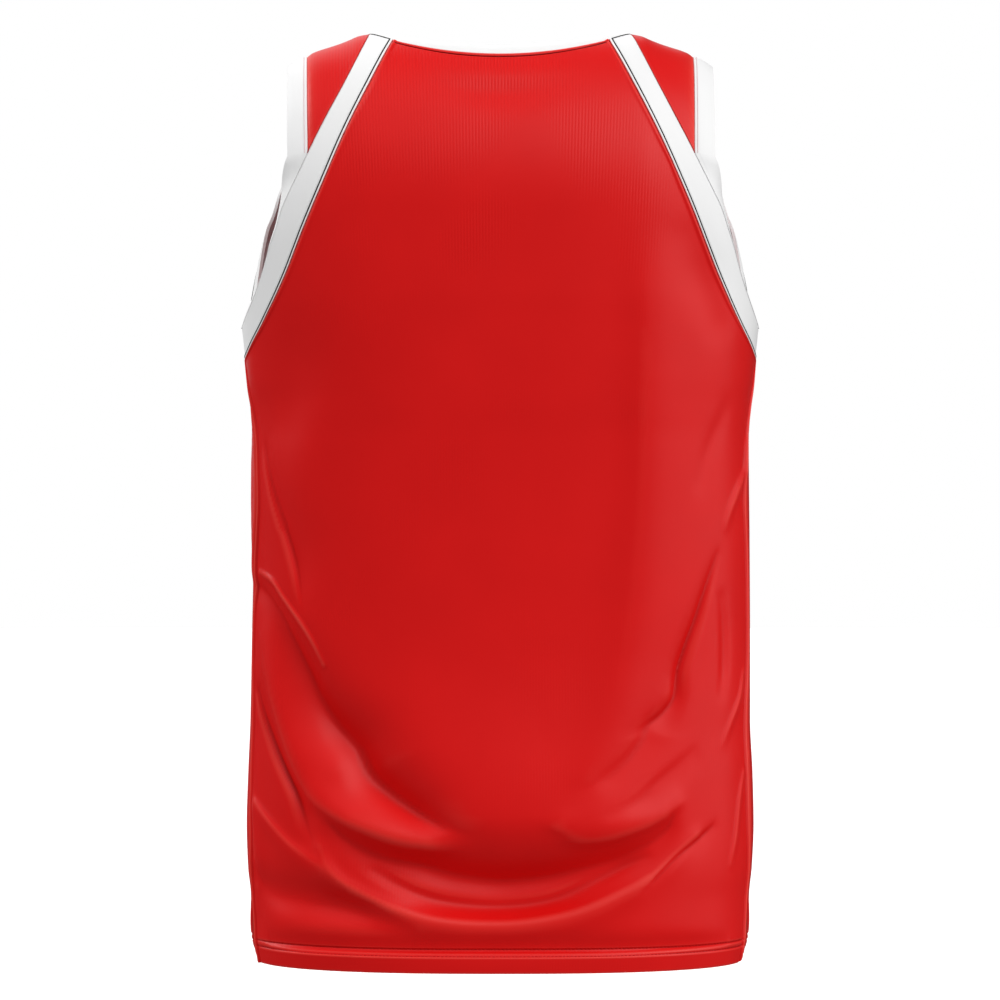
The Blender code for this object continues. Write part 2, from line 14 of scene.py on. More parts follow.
import bpy
import numpy as np
from mathutils import Vector
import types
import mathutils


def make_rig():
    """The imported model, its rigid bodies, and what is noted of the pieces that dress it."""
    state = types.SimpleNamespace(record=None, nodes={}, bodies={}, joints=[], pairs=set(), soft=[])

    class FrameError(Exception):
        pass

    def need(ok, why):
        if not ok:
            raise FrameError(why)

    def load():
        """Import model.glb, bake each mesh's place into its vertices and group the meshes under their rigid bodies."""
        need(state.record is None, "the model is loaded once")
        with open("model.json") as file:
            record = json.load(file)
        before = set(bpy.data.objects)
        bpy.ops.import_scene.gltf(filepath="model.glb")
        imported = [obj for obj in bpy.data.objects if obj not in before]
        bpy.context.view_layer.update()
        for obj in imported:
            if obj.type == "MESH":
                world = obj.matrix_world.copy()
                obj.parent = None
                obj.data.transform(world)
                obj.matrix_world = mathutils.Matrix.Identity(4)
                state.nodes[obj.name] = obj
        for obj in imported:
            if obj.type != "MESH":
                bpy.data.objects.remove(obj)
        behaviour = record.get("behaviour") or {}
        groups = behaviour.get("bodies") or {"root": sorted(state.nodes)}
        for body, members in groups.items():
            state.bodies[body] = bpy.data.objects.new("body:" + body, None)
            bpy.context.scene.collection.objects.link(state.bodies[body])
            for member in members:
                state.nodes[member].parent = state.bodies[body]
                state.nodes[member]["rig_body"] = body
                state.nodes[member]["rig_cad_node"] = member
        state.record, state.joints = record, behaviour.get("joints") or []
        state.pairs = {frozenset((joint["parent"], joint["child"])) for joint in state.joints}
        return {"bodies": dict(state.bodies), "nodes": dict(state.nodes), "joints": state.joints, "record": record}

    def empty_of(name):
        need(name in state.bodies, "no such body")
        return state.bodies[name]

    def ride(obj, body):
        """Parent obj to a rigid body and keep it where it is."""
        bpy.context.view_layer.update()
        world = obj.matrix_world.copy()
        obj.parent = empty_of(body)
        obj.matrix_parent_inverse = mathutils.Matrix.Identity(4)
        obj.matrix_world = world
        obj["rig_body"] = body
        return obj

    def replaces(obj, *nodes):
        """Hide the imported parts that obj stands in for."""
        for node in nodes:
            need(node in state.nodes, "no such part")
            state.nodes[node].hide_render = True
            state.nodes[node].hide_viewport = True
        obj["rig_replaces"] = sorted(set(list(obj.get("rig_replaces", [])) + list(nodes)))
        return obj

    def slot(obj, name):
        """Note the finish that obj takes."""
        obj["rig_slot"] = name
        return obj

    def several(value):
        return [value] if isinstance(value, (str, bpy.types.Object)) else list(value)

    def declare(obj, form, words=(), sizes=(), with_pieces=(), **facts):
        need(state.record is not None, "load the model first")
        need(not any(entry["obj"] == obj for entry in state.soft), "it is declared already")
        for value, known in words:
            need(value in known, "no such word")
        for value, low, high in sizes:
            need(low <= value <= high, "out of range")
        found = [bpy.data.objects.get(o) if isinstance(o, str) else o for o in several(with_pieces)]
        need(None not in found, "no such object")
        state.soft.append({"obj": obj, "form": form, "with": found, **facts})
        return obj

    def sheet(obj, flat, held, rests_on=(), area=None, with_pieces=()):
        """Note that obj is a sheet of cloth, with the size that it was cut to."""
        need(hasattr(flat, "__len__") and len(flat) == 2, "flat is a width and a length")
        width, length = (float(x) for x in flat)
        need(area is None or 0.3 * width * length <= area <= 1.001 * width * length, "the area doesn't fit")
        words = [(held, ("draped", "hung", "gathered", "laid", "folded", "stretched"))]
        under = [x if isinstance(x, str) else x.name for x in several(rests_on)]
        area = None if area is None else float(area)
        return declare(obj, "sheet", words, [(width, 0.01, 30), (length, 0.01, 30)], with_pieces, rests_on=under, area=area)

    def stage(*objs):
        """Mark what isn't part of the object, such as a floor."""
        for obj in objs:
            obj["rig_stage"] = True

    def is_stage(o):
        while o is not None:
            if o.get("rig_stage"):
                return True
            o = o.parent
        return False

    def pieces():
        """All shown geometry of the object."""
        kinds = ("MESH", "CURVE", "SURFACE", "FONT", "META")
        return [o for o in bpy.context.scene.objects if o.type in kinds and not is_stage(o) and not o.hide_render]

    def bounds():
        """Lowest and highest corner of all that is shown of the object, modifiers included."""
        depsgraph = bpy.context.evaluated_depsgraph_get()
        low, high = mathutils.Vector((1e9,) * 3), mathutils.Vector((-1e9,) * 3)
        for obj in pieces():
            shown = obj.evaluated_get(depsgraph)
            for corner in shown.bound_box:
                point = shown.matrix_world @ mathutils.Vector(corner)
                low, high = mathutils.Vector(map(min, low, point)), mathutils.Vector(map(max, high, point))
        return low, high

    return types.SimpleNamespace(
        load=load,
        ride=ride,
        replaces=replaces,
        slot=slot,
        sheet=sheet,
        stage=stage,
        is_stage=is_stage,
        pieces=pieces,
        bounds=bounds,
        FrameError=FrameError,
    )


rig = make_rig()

MM = 0.001

# Driving dimensions, in millimetres, as in the solids.
LENGTH = 755.5  # neck point to hem
HEM_DEPTH = 19.0  # turned-up hem
VENT_TOP = 700.0  # where the side vents start
NECK_HALF_WIDTH = 107.0
BACK_NECK_DROP = 22.4
BACK_NECK_BEND = 0.9  # how the neckline bends: 0.5 is an ellipse and 1 a parabola
FRONT_NECK_DROP = 95.0
FRONT_NECK_BEND = 0.68
SHOULDER_HALF_WIDTH = 158.5  # centre to the armhole seam, on top of the shoulder
BACK_SLOPE = 150.0  # drop in which the back rounds out from the shoulder line
FRONT_SLOPE = 132.0
UNDERARM_POINT = 265.0  # drop of the point where the stripes meet the side seam
ARMHOLE_DROP = 241.0  # drop of the armhole seam under the arm
YOKE_TIP = 105.0  # drop of the yoke's lower tips
ACROSS_TIP = 114.0  # drop of the stripe's inner seam straight across from a tip
STRIPE_NECK_BACK = 8.0  # drop of the stripe's inner corner at the back neck
STRIPE_NECK_FRONT = 27.0
PIPING_WIDTH = 2.0
PIPING_RISE = 0.7
ARMHOLE_BINDING = 18.0
NECK_BINDING = 14.0
BINDING_ROLL = 1.0
YOKE_OVERLAP = 0.2  # how far the yoke's neck end reaches over the neck point
CLOTH = 1.5  # wall of a single layer
FOLDED = 2.4  # wall of a binding and of the hem
SEAM_GAP = 0.3
ROUNDNESS = 2.5  # exponent of the horizontal sections: 2 is an ellipse
GIRTH_SCALE = 3.0  # millimetres of girth to a degree of turn, for the folds
NECK_CROWDING = 1.4  # how steps crowd towards the neck, where the shoulder rounds over
EVENING = 10  # passes that even out the rows in a panel's middle
EVENED_POWER = 0.5  # how wide that middle is: less is wider
SAG_POWER = 1.5  # how fast the rows' sag to the neckline levels out below it: more is faster
INWARD_IS_UP = 0.2  # how far a steep fold's upper side is the one nearer the centre
LEAST_MITRE = 0.6  # limits how far a mitred corner reaches
CHEST = 300.0  # drop of the section that the knit's girth is measured on
SEAM_SAMPLES = 200  # on a stretch of a seam
GIRTH_SAMPLES = 1081  # on the chest, every half degree
NECK_PASSES = 12  # passes that find the neckline's drop
SHARP_ANGLE = 50.0  # degrees between faces, from which an edge is shaded sharp

# The solids' counts of grid steps, which are cut finer below.
YOKE_STEPS = 7  # neck to the yoke's tip, along a stripe
ARMHOLE_STEPS = 11  # yoke's tip to underarm, along a stripe
SIDE_STEPS = 25  # underarm to vent
VENT_STEPS = 4
BACK_COLUMNS = 30
FRONT_COLUMNS = 20
BACK_SAG_ROWS = YOKE_STEPS  # rows that sag to the neckline
FRONT_SAG_ROWS = YOKE_STEPS + ARMHOLE_STEPS - 2

# Fine steps in each of those, along a seam from the neck to the hem, then across the panels, whose
# outermost steps crowd towards the edge, and across the other pieces.
NECK_CUT = (10, 10)
ARMHOLE_CUT = 4
SIDE_CUT = (*[4] * 8, *[11] * 17)
HEM_CUT = (8, 8, 22, 21)
MIDDLE_CUT = 4
FLANK_CUT = 9
EDGE_CUT = 12
EDGE_CROWDING = 1.5
STRIPE_CUT = 16
PIPING_CUT = 6
SHOULDER_CUT = 48
BINDING_CUT = 14


def table(columns, *rows):
    """A table with named columns."""
    return dict(zip(columns.split(), np.array(rows, float).T))


# Horizontal sections: half widths to each side, and depths behind and in front of the side line.
SECTIONS = table(
    "down left right back front",
    (0, 236, 236, 112, 106),
    (60, 230, 230, 115, 115),
    (120, 222, 223, 117, 123),
    (180, 216, 217, 118, 128),
    (215, 212.6, 213, 118, 130),
    (242, 210.9, 211.2, 117, 131),
    (265, 208.6, 208.9, 116, 131),
    (287, 206.2, 206.8, 115, 130),
    (305, 203.6, 204.7, 114, 129),
    (332, 202.0, 203.5, 112, 127),
    (414, 201.7, 204.2, 109, 121),
    (500, 203.1, 204.6, 108, 117),
    (560, 204.2, 204.6, 110, 116),
    (604, 206.0, 206.6, 112, 116),
    (645, 207.2, 207.5, 114, 117),
    (680, 206.1, 206.0, 116, 118),
    (702, 203.8, 203.8, 116, 118),
    (756, 202.7, 202.2, 117, 118),
)

# The shoulder line: its drop at each distance from the centre.
SHOULDER = table(
    "across down",
    (0, 0),
    (107, 0.2),
    (115, 1.4),
    (123, 4.7),
    (131, 7.8),
    (139.5, 10.6),
    (148, 13.2),
    (156, 16.6),
    (165, 22.5),
    (176, 31),
)

# Seams between panel and stripe: distance from the centre to each side, at each drop.
BACK_INNER = table(
    "down left right",
    (8, 89.2, 90.8),
    (47, 106.5, 108.8),
    (88, 125.6, 128.3),
    (128, 142.5, 145.8),
    (160, 156.2, 159.4),
    (202, 173.8, 176.8),
    (236, 191.9, 192.4),
    (258, 204.4, 204.8),
    (262.5, 206.6, 207),
    (265, 208, 208.4),
)
FRONT_INNER = table(
    "down left right",
    (27, 100.5, 100.5),
    (60, 119, 119),
    (100, 141, 141),
    (140, 161, 161),
    (175, 177, 177),
    (210, 190.5, 190.5),
    (240, 201, 201),
    (254, 205, 205),
    (260, 206.9, 207),
    (263.5, 208, 208.2),
    (265, 208.4, 208.7),
)

# Seams between stripe and yoke, then between stripe and armhole binding.
BACK_OUTER = table(
    "down left right",
    (0.3, 106.6, 106.6),
    (10, 108.8, 110.6),
    (17, 111.7, 113.2),
    (29, 116.6, 118.3),
    (48, 125.4, 127),
    (64, 133.1, 134.8),
    (80, 141.5, 142.7),
    (95, 149.2, 150),
    (105, 153.4, 155.3),
    (127, 163.6, 166.3),
    (140, 170.2, 173),
    (151, 174.8, 178),
    (160, 177.3, 180.8),
    (176, 183.5, 186.3),
    (202, 191.9, 194),
    (219, 199, 200.5),
    (231, 205, 205.6),
    (238, 208.6, 209),
    (241, 210.2, 210.6),
)
FRONT_OUTER = table(
    "down left right",
    (0.3, 106.6, 106.6),
    (13, 112, 112),
    (30, 121, 121),
    (60, 137, 137),
    (105, 162, 162),
    (120, 171.5, 171.5),
    (140, 184, 184),
    (151, 190, 190),
    (165, 196.5, 196.5),
    (186, 202, 202),
    (205, 205.3, 205.3),
    (220, 207.2, 207.2),
    (232, 208.8, 208.8),
    (239, 210.2, 210.2),
    (241, 210.7, 210.9),
)

# The side seams, by how far they lie behind the side line, and the front's edge along the vent.
SIDE_SEAM = table(
    "down behind",
    (265, 13),
    (300, 24),
    (340, 35),
    (380, 39),
    (440, 34),
    (500, 33),
    (560, 39),
    (640, 42),
    (700, 38),
    (756, 40),
)
FRONT_VENT = table("down behind", (700, 38), (716, 25), (736, 9), (756, -6))

# How the armhole binding leans: parts of its width outwards and towards the armhole's centre, by the
# angle about that centre from straight down (0) to the shoulder (180), alike in front and behind.
ARMHOLE_CENTRE = 130.0
ARMHOLE_LEAN = table(
    "angle out hub",
    (0, -0.35, 0.93),
    (30, -0.30, 0.95),
    (58, -0.12, 0.99),
    (70, 0.03, 1.00),
    (76, 0.12, 0.99),
    (84, 0.33, 0.95),
    (92, 0.61, 0.79),
    (99, 0.83, 0.56),
    (105, 0.92, 0.40),
    (125, 0.91, 0.42),
    (180, 0.87, 0.49),
)

# How the neck binding leans: inwards and up, by the angle about the neck from the centre back.
NECK_CENTRE_BEHIND = 10.0
NECK_LEAN = table(
    "angle inward up",
    (0, 0.79, 0.61),
    (35, 0.84, 0.54),
    (56, 0.92, 0.40),
    (76, 0.99, 0.14),
    (95, 1.00, -0.06),
    (115, 0.95, 0.30),
    (140, 0.68, 0.73),
    (180, 0.34, 0.94),
)

# How the folds' heights are worked out.
CRISP = 1.4  # the bend of a crisp crease
FOLD_STEPS = 6  # straight runs between two points of a fold's line
FOLD_REACH = 3.2  # half-widths beyond which a fold is nothing
FOLD_NEARNESS = 8.0  # how much the nearest run of a fold counts for its height
FOLD_BLUNTNESS = 0.15  # half-widths over which its line is rounded
HEM_CURL = 3.0  # how far the hem's edge curls in


def fold(*points, bend=2.0):
    """A crease or roll. Its line's points: across (plus is the wearer's left), down, height (minus is a
    trough), and the half-widths above (over) and below (under) the line. A bend of 2 is round, and a lower
    one is a crisp crease."""
    return {"bend": bend, **table("across down height over under", *points)}


BACK_FOLDS = (
    # The long trough from the left side to the seat, and its thin upper lip.
    fold((198, 449, -2, 6, 12), (190, 458, -4.5, 8, 14), (179, 475, -7, 9, 16), (169, 496, -9.5, 12, 18),
         (158, 520, -12.5, 15, 20), (149, 541, -15, 19, 20), (135, 562, -19, 22, 17),
         (117, 581, -21, 24, 15.5), (105, 601, -21.5, 23, 14.5), (87, 616, -21, 21, 13),
         (66, 629, -17.5, 18, 11), (51, 636, -11, 15, 10), (38, 641, -4.5, 13, 9), (27, 645, -1, 11, 9),
         bend=CRISP),
    fold((194, 439, 1, 2.2, 2.8), (183, 446, 1.8, 2.2, 3), (173, 460, 2.2, 2.2, 3.2),
         (161, 477, 2.2, 2.2, 3.2), (151, 493, 1.8, 2.5, 3.2), (142, 512, 1, 3, 3)),
    # The roll below it, which ends round under the seat.
    fold((191, 494, 0.6, 12, 8), (185, 528, 2.4, 15, 9), (172, 573, 4, 16, 9), (156, 608, 4, 16, 9),
         (131, 629, 5, 14, 8), (103, 642, 6, 13, 8), (77, 651, 6, 12, 8), (58, 654, 5, 10, 7.5),
         (45, 655, 2.4, 9, 7), (36, 655, 0.7, 8, 7)),
    # A step in the cloth above the trough, from the side inwards.
    fold((192, 341, -1.5, 10, 3), (185, 372, -3.5, 18, 3), (174, 404, -4.5, 25, 3.2),
         (165, 433, -4.5, 25, 3.5), (158, 463, -1, 20, 4), bend=CRISP),
    # The crease below the roll, along the left side.
    fold((195, 536, -2, 8, 2.5), (191, 555, -3.5, 12, 2.5), (184, 576, -5, 14, 3), (174, 598, -6, 14, 3),
         (165, 615, -6, 14, 3.5), (158, 632, -4.5, 12, 5), (152, 647, -2.4, 9, 7), (148, 659, -0.8, 7, 8),
         bend=CRISP),
    # The ridge from the side to the hem's roll, and the hollow in the corner below it.
    fold((195, 625, 1.5, 3, 10), (187, 636, 2.5, 3.5, 12), (177, 647, 2.5, 4, 13), (166, 657, 2.5, 4, 13),
         (154, 666, 2, 5, 12), (143, 674, 1, 6, 12)),
    fold((196, 683, -2, 12, 9), (183, 695, -4.5, 18, 12), (159, 700, -7, 18, 13), (133, 702, -9.5, 15, 13),
         (110, 706, -9, 12, 12), (92, 712, -5, 10, 10), (76, 718, -1.5, 9, 8)),
    # The deep U-shaped trough under the seat, and a thin groove below it.
    fold((134, 640, -1.5, 5, 6), (122, 652, -5, 8, 12), (95, 666, -11, 12, 18), (63, 672, -16, 15, 22),
         (39, 679, -19.5, 18, 26), (16, 683, -21, 19, 27), (-2, 684.5, -21.5, 19, 27),
         (-20, 683.5, -21, 19, 27), (-40, 681, -19.5, 18, 26), (-63, 676, -17, 17, 23),
         (-95, 667, -13, 14, 20), (-119, 655, -7, 10, 14), (-133, 643, -4, 7, 8), (-137, 634, -1.5, 5, 5),
         bend=CRISP),
    fold((101, 675, -1.5, 4, 5), (79, 687, -3, 4.5, 6), (55, 697, -4, 5, 7), (30, 702, -4.2, 5.5, 7.5),
         (0, 704, -4.2, 5.5, 7.5), (-32, 701, -4.2, 5.5, 7.5), (-55, 694, -3.8, 5, 7),
         (-79, 683, -3.2, 6, 6), (-103, 671, -2.6, 5, 5), (-117, 664, -1, 4, 4)),
    # The roll round the bottom of the seat.
    fold((143, 659, 1.5, 6, 9), (136, 674, 3.5, 6, 13), (121, 688, 5, 6, 15), (88, 704, 5.6, 6, 14),
         (47, 714, 5.2, 6, 13), (0, 716, 5, 6, 13), (-33, 713, 5.2, 6, 13), (-66, 706, 5.2, 6, 14),
         (-98, 692, 5, 6, 13), (-124, 678, 3.5, 6, 11), (-146, 661, 2.5, 7, 9), (-156, 650, 1.5, 7, 8)),
    # The cloth turns in above the hem's seam.
    fold((185, 737, -1.5, 9, 2.5), (160, 738, -4, 11, 2.5), (105, 738, -5, 12, 2.5),
         (40, 738, -5.5, 12, 2.5), (-40, 738, -5.5, 12, 2.5), (-100, 738, -4.5, 11, 2.5),
         (-150, 737, -3, 9, 2.5), (-180, 737, -1, 8, 2.5)),
    # The right side: a long soft ridge down from the shoulder blade, and the crease beside it.
    fold((-116, 170, 1, 20, 22), (-117, 223, 3, 16, 34), (-116, 318, 5, 16, 40), (-113, 397, 5, 18, 40),
         (-107, 461, 5, 20, 36), (-96, 524, 4.5, 20, 28), (-85, 563, 3, 18, 20), (-71, 599, 1.5, 15, 15)),
    fold((-174, 425, -1, 5, 4), (-165, 453, -3.5, 6, 4.2), (-158, 475, -5, 6.5, 4.5),
         (-149, 499, -6, 7, 4.5), (-143, 518, -6, 7, 5), (-140, 538, -5.5, 6, 7), (-130, 551, -5, 5, 12),
         (-117, 561, -4, 5, 16), (-111, 573, -3.4, 5, 18), (-100, 587, -3, 6, 18), (-84, 601, -2.6, 8, 14),
         (-70, 609, -1, 8, 10), bend=CRISP),
    # The roll that ends round under the seat, and the dip over it.
    fold((-48, 640, 2, 14, 6), (-63, 648, 3.5, 18, 7), (-84, 647, 4, 18, 7), (-104, 641, 4, 16, 7),
         (-124, 633, 3.2, 12, 6), (-140, 622, 1.5, 10, 6)),
    fold((-152, 584, -0.8, 5, 12), (-137, 597, -1.8, 6, 12), (-123, 608, -2, 6, 12),
         (-109, 620, -2, 6, 10), (-90, 630, -0.8, 6, 8)),
    # Small creases and ridges towards the right side.
    fold((-116, 690, -1, 3, 7), (-128, 677, -2.5, 3, 8), (-143, 663, -3.2, 3, 8), (-159, 651, -2.8, 3, 8),
         (-170, 642, -1, 3, 6), bend=CRISP),
    fold((-178, 461, -1, 7, 7), (-180, 486, -2, 7, 7), (-180, 514, -2, 7, 7), (-178, 535, -0.8, 7, 7)),
    fold((-198, 333, 1, 2.2, 5), (-197, 355, 1.7, 2.2, 6), (-191, 372, 2, 2.2, 7),
         (-185, 386, 1.7, 2.2, 7), (-180, 401, 0.7, 2.6, 7)),
    fold((-196, 520, 0.8, 2.5, 5), (-193, 539, 1.3, 2.5, 6), (-186, 557, 1.2, 2.5, 6),
         (-178, 576, 0.5, 3, 6)),
    fold((-196, 601, 0.8, 2.5, 5), (-192, 623, 1.2, 2.5, 6), (-189, 650, 1.2, 2.5, 6),
         (-185, 672, 0.6, 3, 6)),
    fold((-180, 311, -0.8, 9, 9), (-167, 341, -1.5, 9, 9), (-160, 367, -0.8, 9, 9)),
    # The hollows under the arms, beside the shoulder blades.
    fold((124, 226, -1.5, 38, 30), (142, 254, -4.5, 50, 38), (158, 282, -7.5, 55, 42),
         (174, 304, -7, 50, 40), (186, 318, -3.5, 40, 30)),
    fold((118, 190, 1, 30, 30), (132, 250, 2.5, 30, 30), (148, 320, 2.5, 30, 26), (158, 380, 1, 26, 24)),
    fold((-150, 176, -1.5, 18, 18), (-160, 206, -3, 18, 18), (-172, 240, -2, 18, 16)),
    # The seat stands out.
    fold((72, 622, 6, 80, 34), (35, 629, 11.5, 80, 34), (-33, 629, 11.5, 80, 34), (-68, 622, 6, 80, 34)),
    # The cloth stands off along the left side, and dips under the neck.
    fold((202, 300, 0.5, 14, 8), (201, 350, 2, 16, 8), (200, 400, 2.5, 16, 8), (199, 440, 2, 14, 8),
         (197, 480, 1, 12, 8), (197, 540, 1.6, 14, 8), (197, 600, 2.2, 15, 8), (196, 660, 2.2, 15, 8),
         (196, 705, 1, 12, 8)),
    fold((48, 50, -1.2, 9, 12), (16, 55, -3.4, 10, 14), (-16, 55, -3.4, 10, 14), (-45, 50, -1.2, 9, 12)),
)

# The front hangs from the chest in folds of the same kind, a little softer.
FRONT_FOLDS = (
    fold((192, 412, -2, 8, 18), (178, 446, -5, 10, 20), (160, 484, -8, 13, 22), (127, 546, -11, 17, 22),
         (88, 596, -10, 18, 20), (52, 622, -6, 16, 17), (22, 634, -2, 14, 14), bend=CRISP),
    fold((188, 500, 2, 16, 12), (152, 570, 4, 17, 13), (102, 622, 5, 17, 12), (44, 650, 3, 16, 11)),
    fold((-192, 448, -2, 8, 18), (-176, 486, -5, 11, 20), (-152, 528, -8, 14, 20), (-118, 576, -9, 16, 20),
         (-84, 608, -6, 15, 17), (-56, 624, -2, 13, 14), bend=CRISP),
    fold((-184, 545, 2, 16, 12), (-142, 602, 4, 17, 12), (-88, 641, 5, 17, 12), (-34, 660, 3, 16, 11)),
    fold((65, 590, 3, 80, 34), (-10, 604, 4, 80, 34), (-70, 592, 3, 80, 34)),
    fold((126, 650, -2, 10, 13), (98, 667, -7, 13, 16), (52, 681, -11, 16, 18), (-2, 689, -12, 17, 18),
         (-58, 681, -10, 16, 18), (-100, 664, -6, 13, 15), (-128, 645, -2, 10, 12), bend=CRISP),
    fold((134, 672, 2, 7, 14), (104, 694, 4, 7, 15), (60, 710, 5, 7, 15), (-10, 718, 5, 7, 15),
         (-78, 706, 4.5, 7, 15), (-118, 686, 3.5, 7, 13), (-142, 662, 1.5, 7, 10)),
    fold((196, 496, -1, 10, 5), (188, 528, -3, 12, 5), (176, 566, -4.5, 13, 5.5), (164, 600, -4, 12, 6),
         (156, 628, -1.2, 10, 7), bend=CRISP),
    fold((-196, 560, -1, 9, 5), (-186, 588, -3, 11, 5), (-172, 618, -3.6, 11, 5.5),
         (-160, 642, -1.2, 9, 6), bend=CRISP),
    fold((-194, 630, 1, 5, 10), (-180, 652, 2.2, 5, 12), (-162, 668, 2, 5, 12), (-146, 678, 0.8, 5, 11)),
    fold((194, 676, -1.5, 12, 10), (172, 696, -4, 16, 12), (140, 704, -5, 14, 12),
         (112, 712, -1.5, 11, 10)),
    fold((48, 118, -1.2, 10, 13), (4, 132, -2.6, 11, 15), (-40, 119, -1.2, 10, 13)),
    fold((128, 215, -2, 26, 26), (140, 300, -3, 26, 26), (138, 390, -2, 26, 26)),
    fold((-122, 200, -2, 28, 26), (-132, 290, -3, 28, 26), (-128, 370, -2, 28, 26)),
)

# Stitching: the lines above the hem's edge, below the neck seam and off the armhole binding's seam.
HEM_LINES = (14.0, 19.0)
NECK_LINE = 4.0
BINDING_LINE = 2.2
STITCH = 2.6
STITCH_GAP = 0.5
THREAD = 0.28  # radius
THREAD_SIDES = 6
STITCH_SHAPE = table(
    "part girth lift",
    (0, 0.35, -0.3),
    (0.12, 0.85, 0.2),
    (0.5, 1, 0.6),
    (0.88, 0.85, 0.2),
    (1, 0.35, -0.3),
)
HEM_SINK = 0.5  # how deep the hem's stitches lie in the cloth
BARTACKS = 16  # stitches in a bar tack
BARTACK_PITCH = 0.75
BARTACK_WIDTH = 7.0

# The thread in each kind of seam: its colour, its radius and how far its middle lies over the cloth. The deep red
# lines below the panels' necks and in the side seams are painted shadow in the ditch, and the rose ones on the
# stripes' outer seams and beside the piping are red thread, dark enough to paint the ditch's shadow line.
SEAM_THREADS = {
    "inner": ("charcoal", 0.68, 0.2),
    "neck": ("charcoal", 0.5, 0.2),
    # Rose thread, dark enough to paint the ditch's shadow line.
    "outer": ("rose_shadow", 0.32, 0.2),
    "front armhole": ("charcoal", 0.44, 0.2),
    "back armhole": ("grey", 0.2, 0.2),
    # Rose thread, dark enough to paint the shadow line beside the piping.
    "piping": ("rose_shadow", 0.32, 0.2),
    # A painted shadow line in the groove below the neck seam.
    "panel neck": ("shadow_red", 0.44, -0.1),
    "binding": ("pale_pink", 0.2, 0.2),
    # A painted shadow line in the side seam's ditch.
    "side": ("shadow_red", 0.68, 0.2),
}
THREAD_COLOURS = {
    "charcoal": (0.002, 0.002, 0.002),
    # A deep red for painted shadow lines.
    "shadow_red": (0.22, 0.001, 0.001),
    # A rose for thread that also paints a shadow line.
    "rose_shadow": (0.5, 0.02, 0.02),
    "red": (0.5, 0.004, 0.004),
    "pale_pink": (0.75, 0.5, 0.52),
    "grey": (0.6, 0.6, 0.6),
}

# How the cloth rises and dips beside its edges and stitched lines: bumps of a height, at a distance from
# the edge and with a width.
BUMPS = {
    "panel edge": ((0.9, 2.34, 1.8), (-0.7, 0, 0.8)),
    "back side": ((2.0, 1.69, 1.3), (-0.7, 0, 0.8)),
    "front side": ((1, 6, 1.8), (-1.2, 1, 1.7)),
    "panel neck": ((0.5, 0.45 * NECK_LINE, 1.4), (-0.8, NECK_LINE, 0.6)),
    "hem": ((-0.9, HEM_LINES[0], 0.65), (-0.9, HEM_LINES[1], 0.65), (0.5, sum(HEM_LINES) / 2, 1.6)),
    "hem edge": ((-0.5, 0, 0.9),),
    "binding": ((-0.35, BINDING_LINE, 0.5), (-0.3, 0, 0.6)),
    "stripe or yoke": ((0.2, 1.82, 1.4), (-0.3, 0, 0.8)),
    "yoke armhole": ((-0.9, 0, 3.0),),
}
HEM_RISE = 0.35  # of the doubled cloth below the stitching
SIDE_ROLL_GROWS = 30.0  # drop in which the side seams' rolls take over from the piping's
HEM_FADES = 8.0  # distance from the side edges in which the hem's dips grow
HEM_CORNERS = (4.0, 1.5)  # radius at the wearer's right and left
CORNER_REACH = 2.5  # radii over which a corner's rise fades upwards

# The cut of the cloth that shows in each kind of piece: flat width and length, and area where the cut is
# not a rectangle, all in metres, and how it is held.
CUTS = {
    "back_panel": {"flat": (0.5, 0.79), "area": 0.31, "held": "hung"},
    "front_panel": {"flat": (0.61, 0.76), "area": 0.37, "held": "hung"},
    "shoulder_yoke": {"flat": (0.265, 0.056), "area": 0.0099, "held": "draped"},
    "back_stripe": {"flat": (0.036, 0.34), "area": 0.0069, "held": "hung"},
    "front_stripe": {"flat": (0.05, 0.345), "area": 0.0075, "held": "hung"},
    "neck_binding": {"flat": (0.66, 0.014), "held": "draped"},
    "armhole_binding": {"flat": (0.6, 0.018), "held": "hung"},
}

# The knit, in metres on the cloth: its ribs, and how fine its patches, grains and clouds are.
RIB_PITCH = 0.0023
RIBS_START_UP = (-0.21, -0.14)  # height on the cloth over which the ribs gain strength
RIBS_START_INWARDS = (0.13, 0.09)  # distance from the centre over which they do
RIBS_ELSEWHERE = 0.2  # their strength elsewhere
RIB_PATCHES = 11.0
RED_GRAINS = 900.0
RED_CLOUDS = 14.0
WHITE_GRAINS = 1100.0
WHITE_CLOUDS = 18.0
THREAD_TWISTS = 2500.0

# Its reds, with a pale pinkish red for sharp crests, which is a painted highlight, and a deep red for sharp creases,
# which is painted shade, the two greys of each white, and how sharp crests and creases are where that painted
# highlight and shade start to show and where they show in full.
RED_DEEP = (0.65, 0.0025, 0.0025, 1)
RED_PALE = (0.73, 0.0045, 0.004, 1)
# A painted highlight for sharp crests, and a painted shade for sharp creases.
RED_CREST_HIGHLIGHT = (0.95, 0.12, 0.09, 1)
RED_CREASE_SHADE = (0.35, 0.0, 0.0, 1)
WHITE = (0.84, 0.89)
# The inside's greys are darker than the white's, as a painted shade.
WHITE_INSIDE_SHADE = (0.4, 0.45)
HIGHLIGHT_SHARPNESS = (0.505, 0.55)
SHADE_SHARPNESS = (0.495, 0.45)

# The camera, level and square to the back, and the floor and backdrop, in metres.
CAMERA_DISTANCE = 3.0
CAMERA_HEIGHT = -0.3813
CAMERA_LENS = 131.7
CAMERA_SENSOR = 36
CAMERA_REACH = 100
FLOOR_HEIGHT = -1.5
FLOOR_RADIUS = 29
FLOOR_GLOW = 0.2
BACKDROP_RADIUS = 30

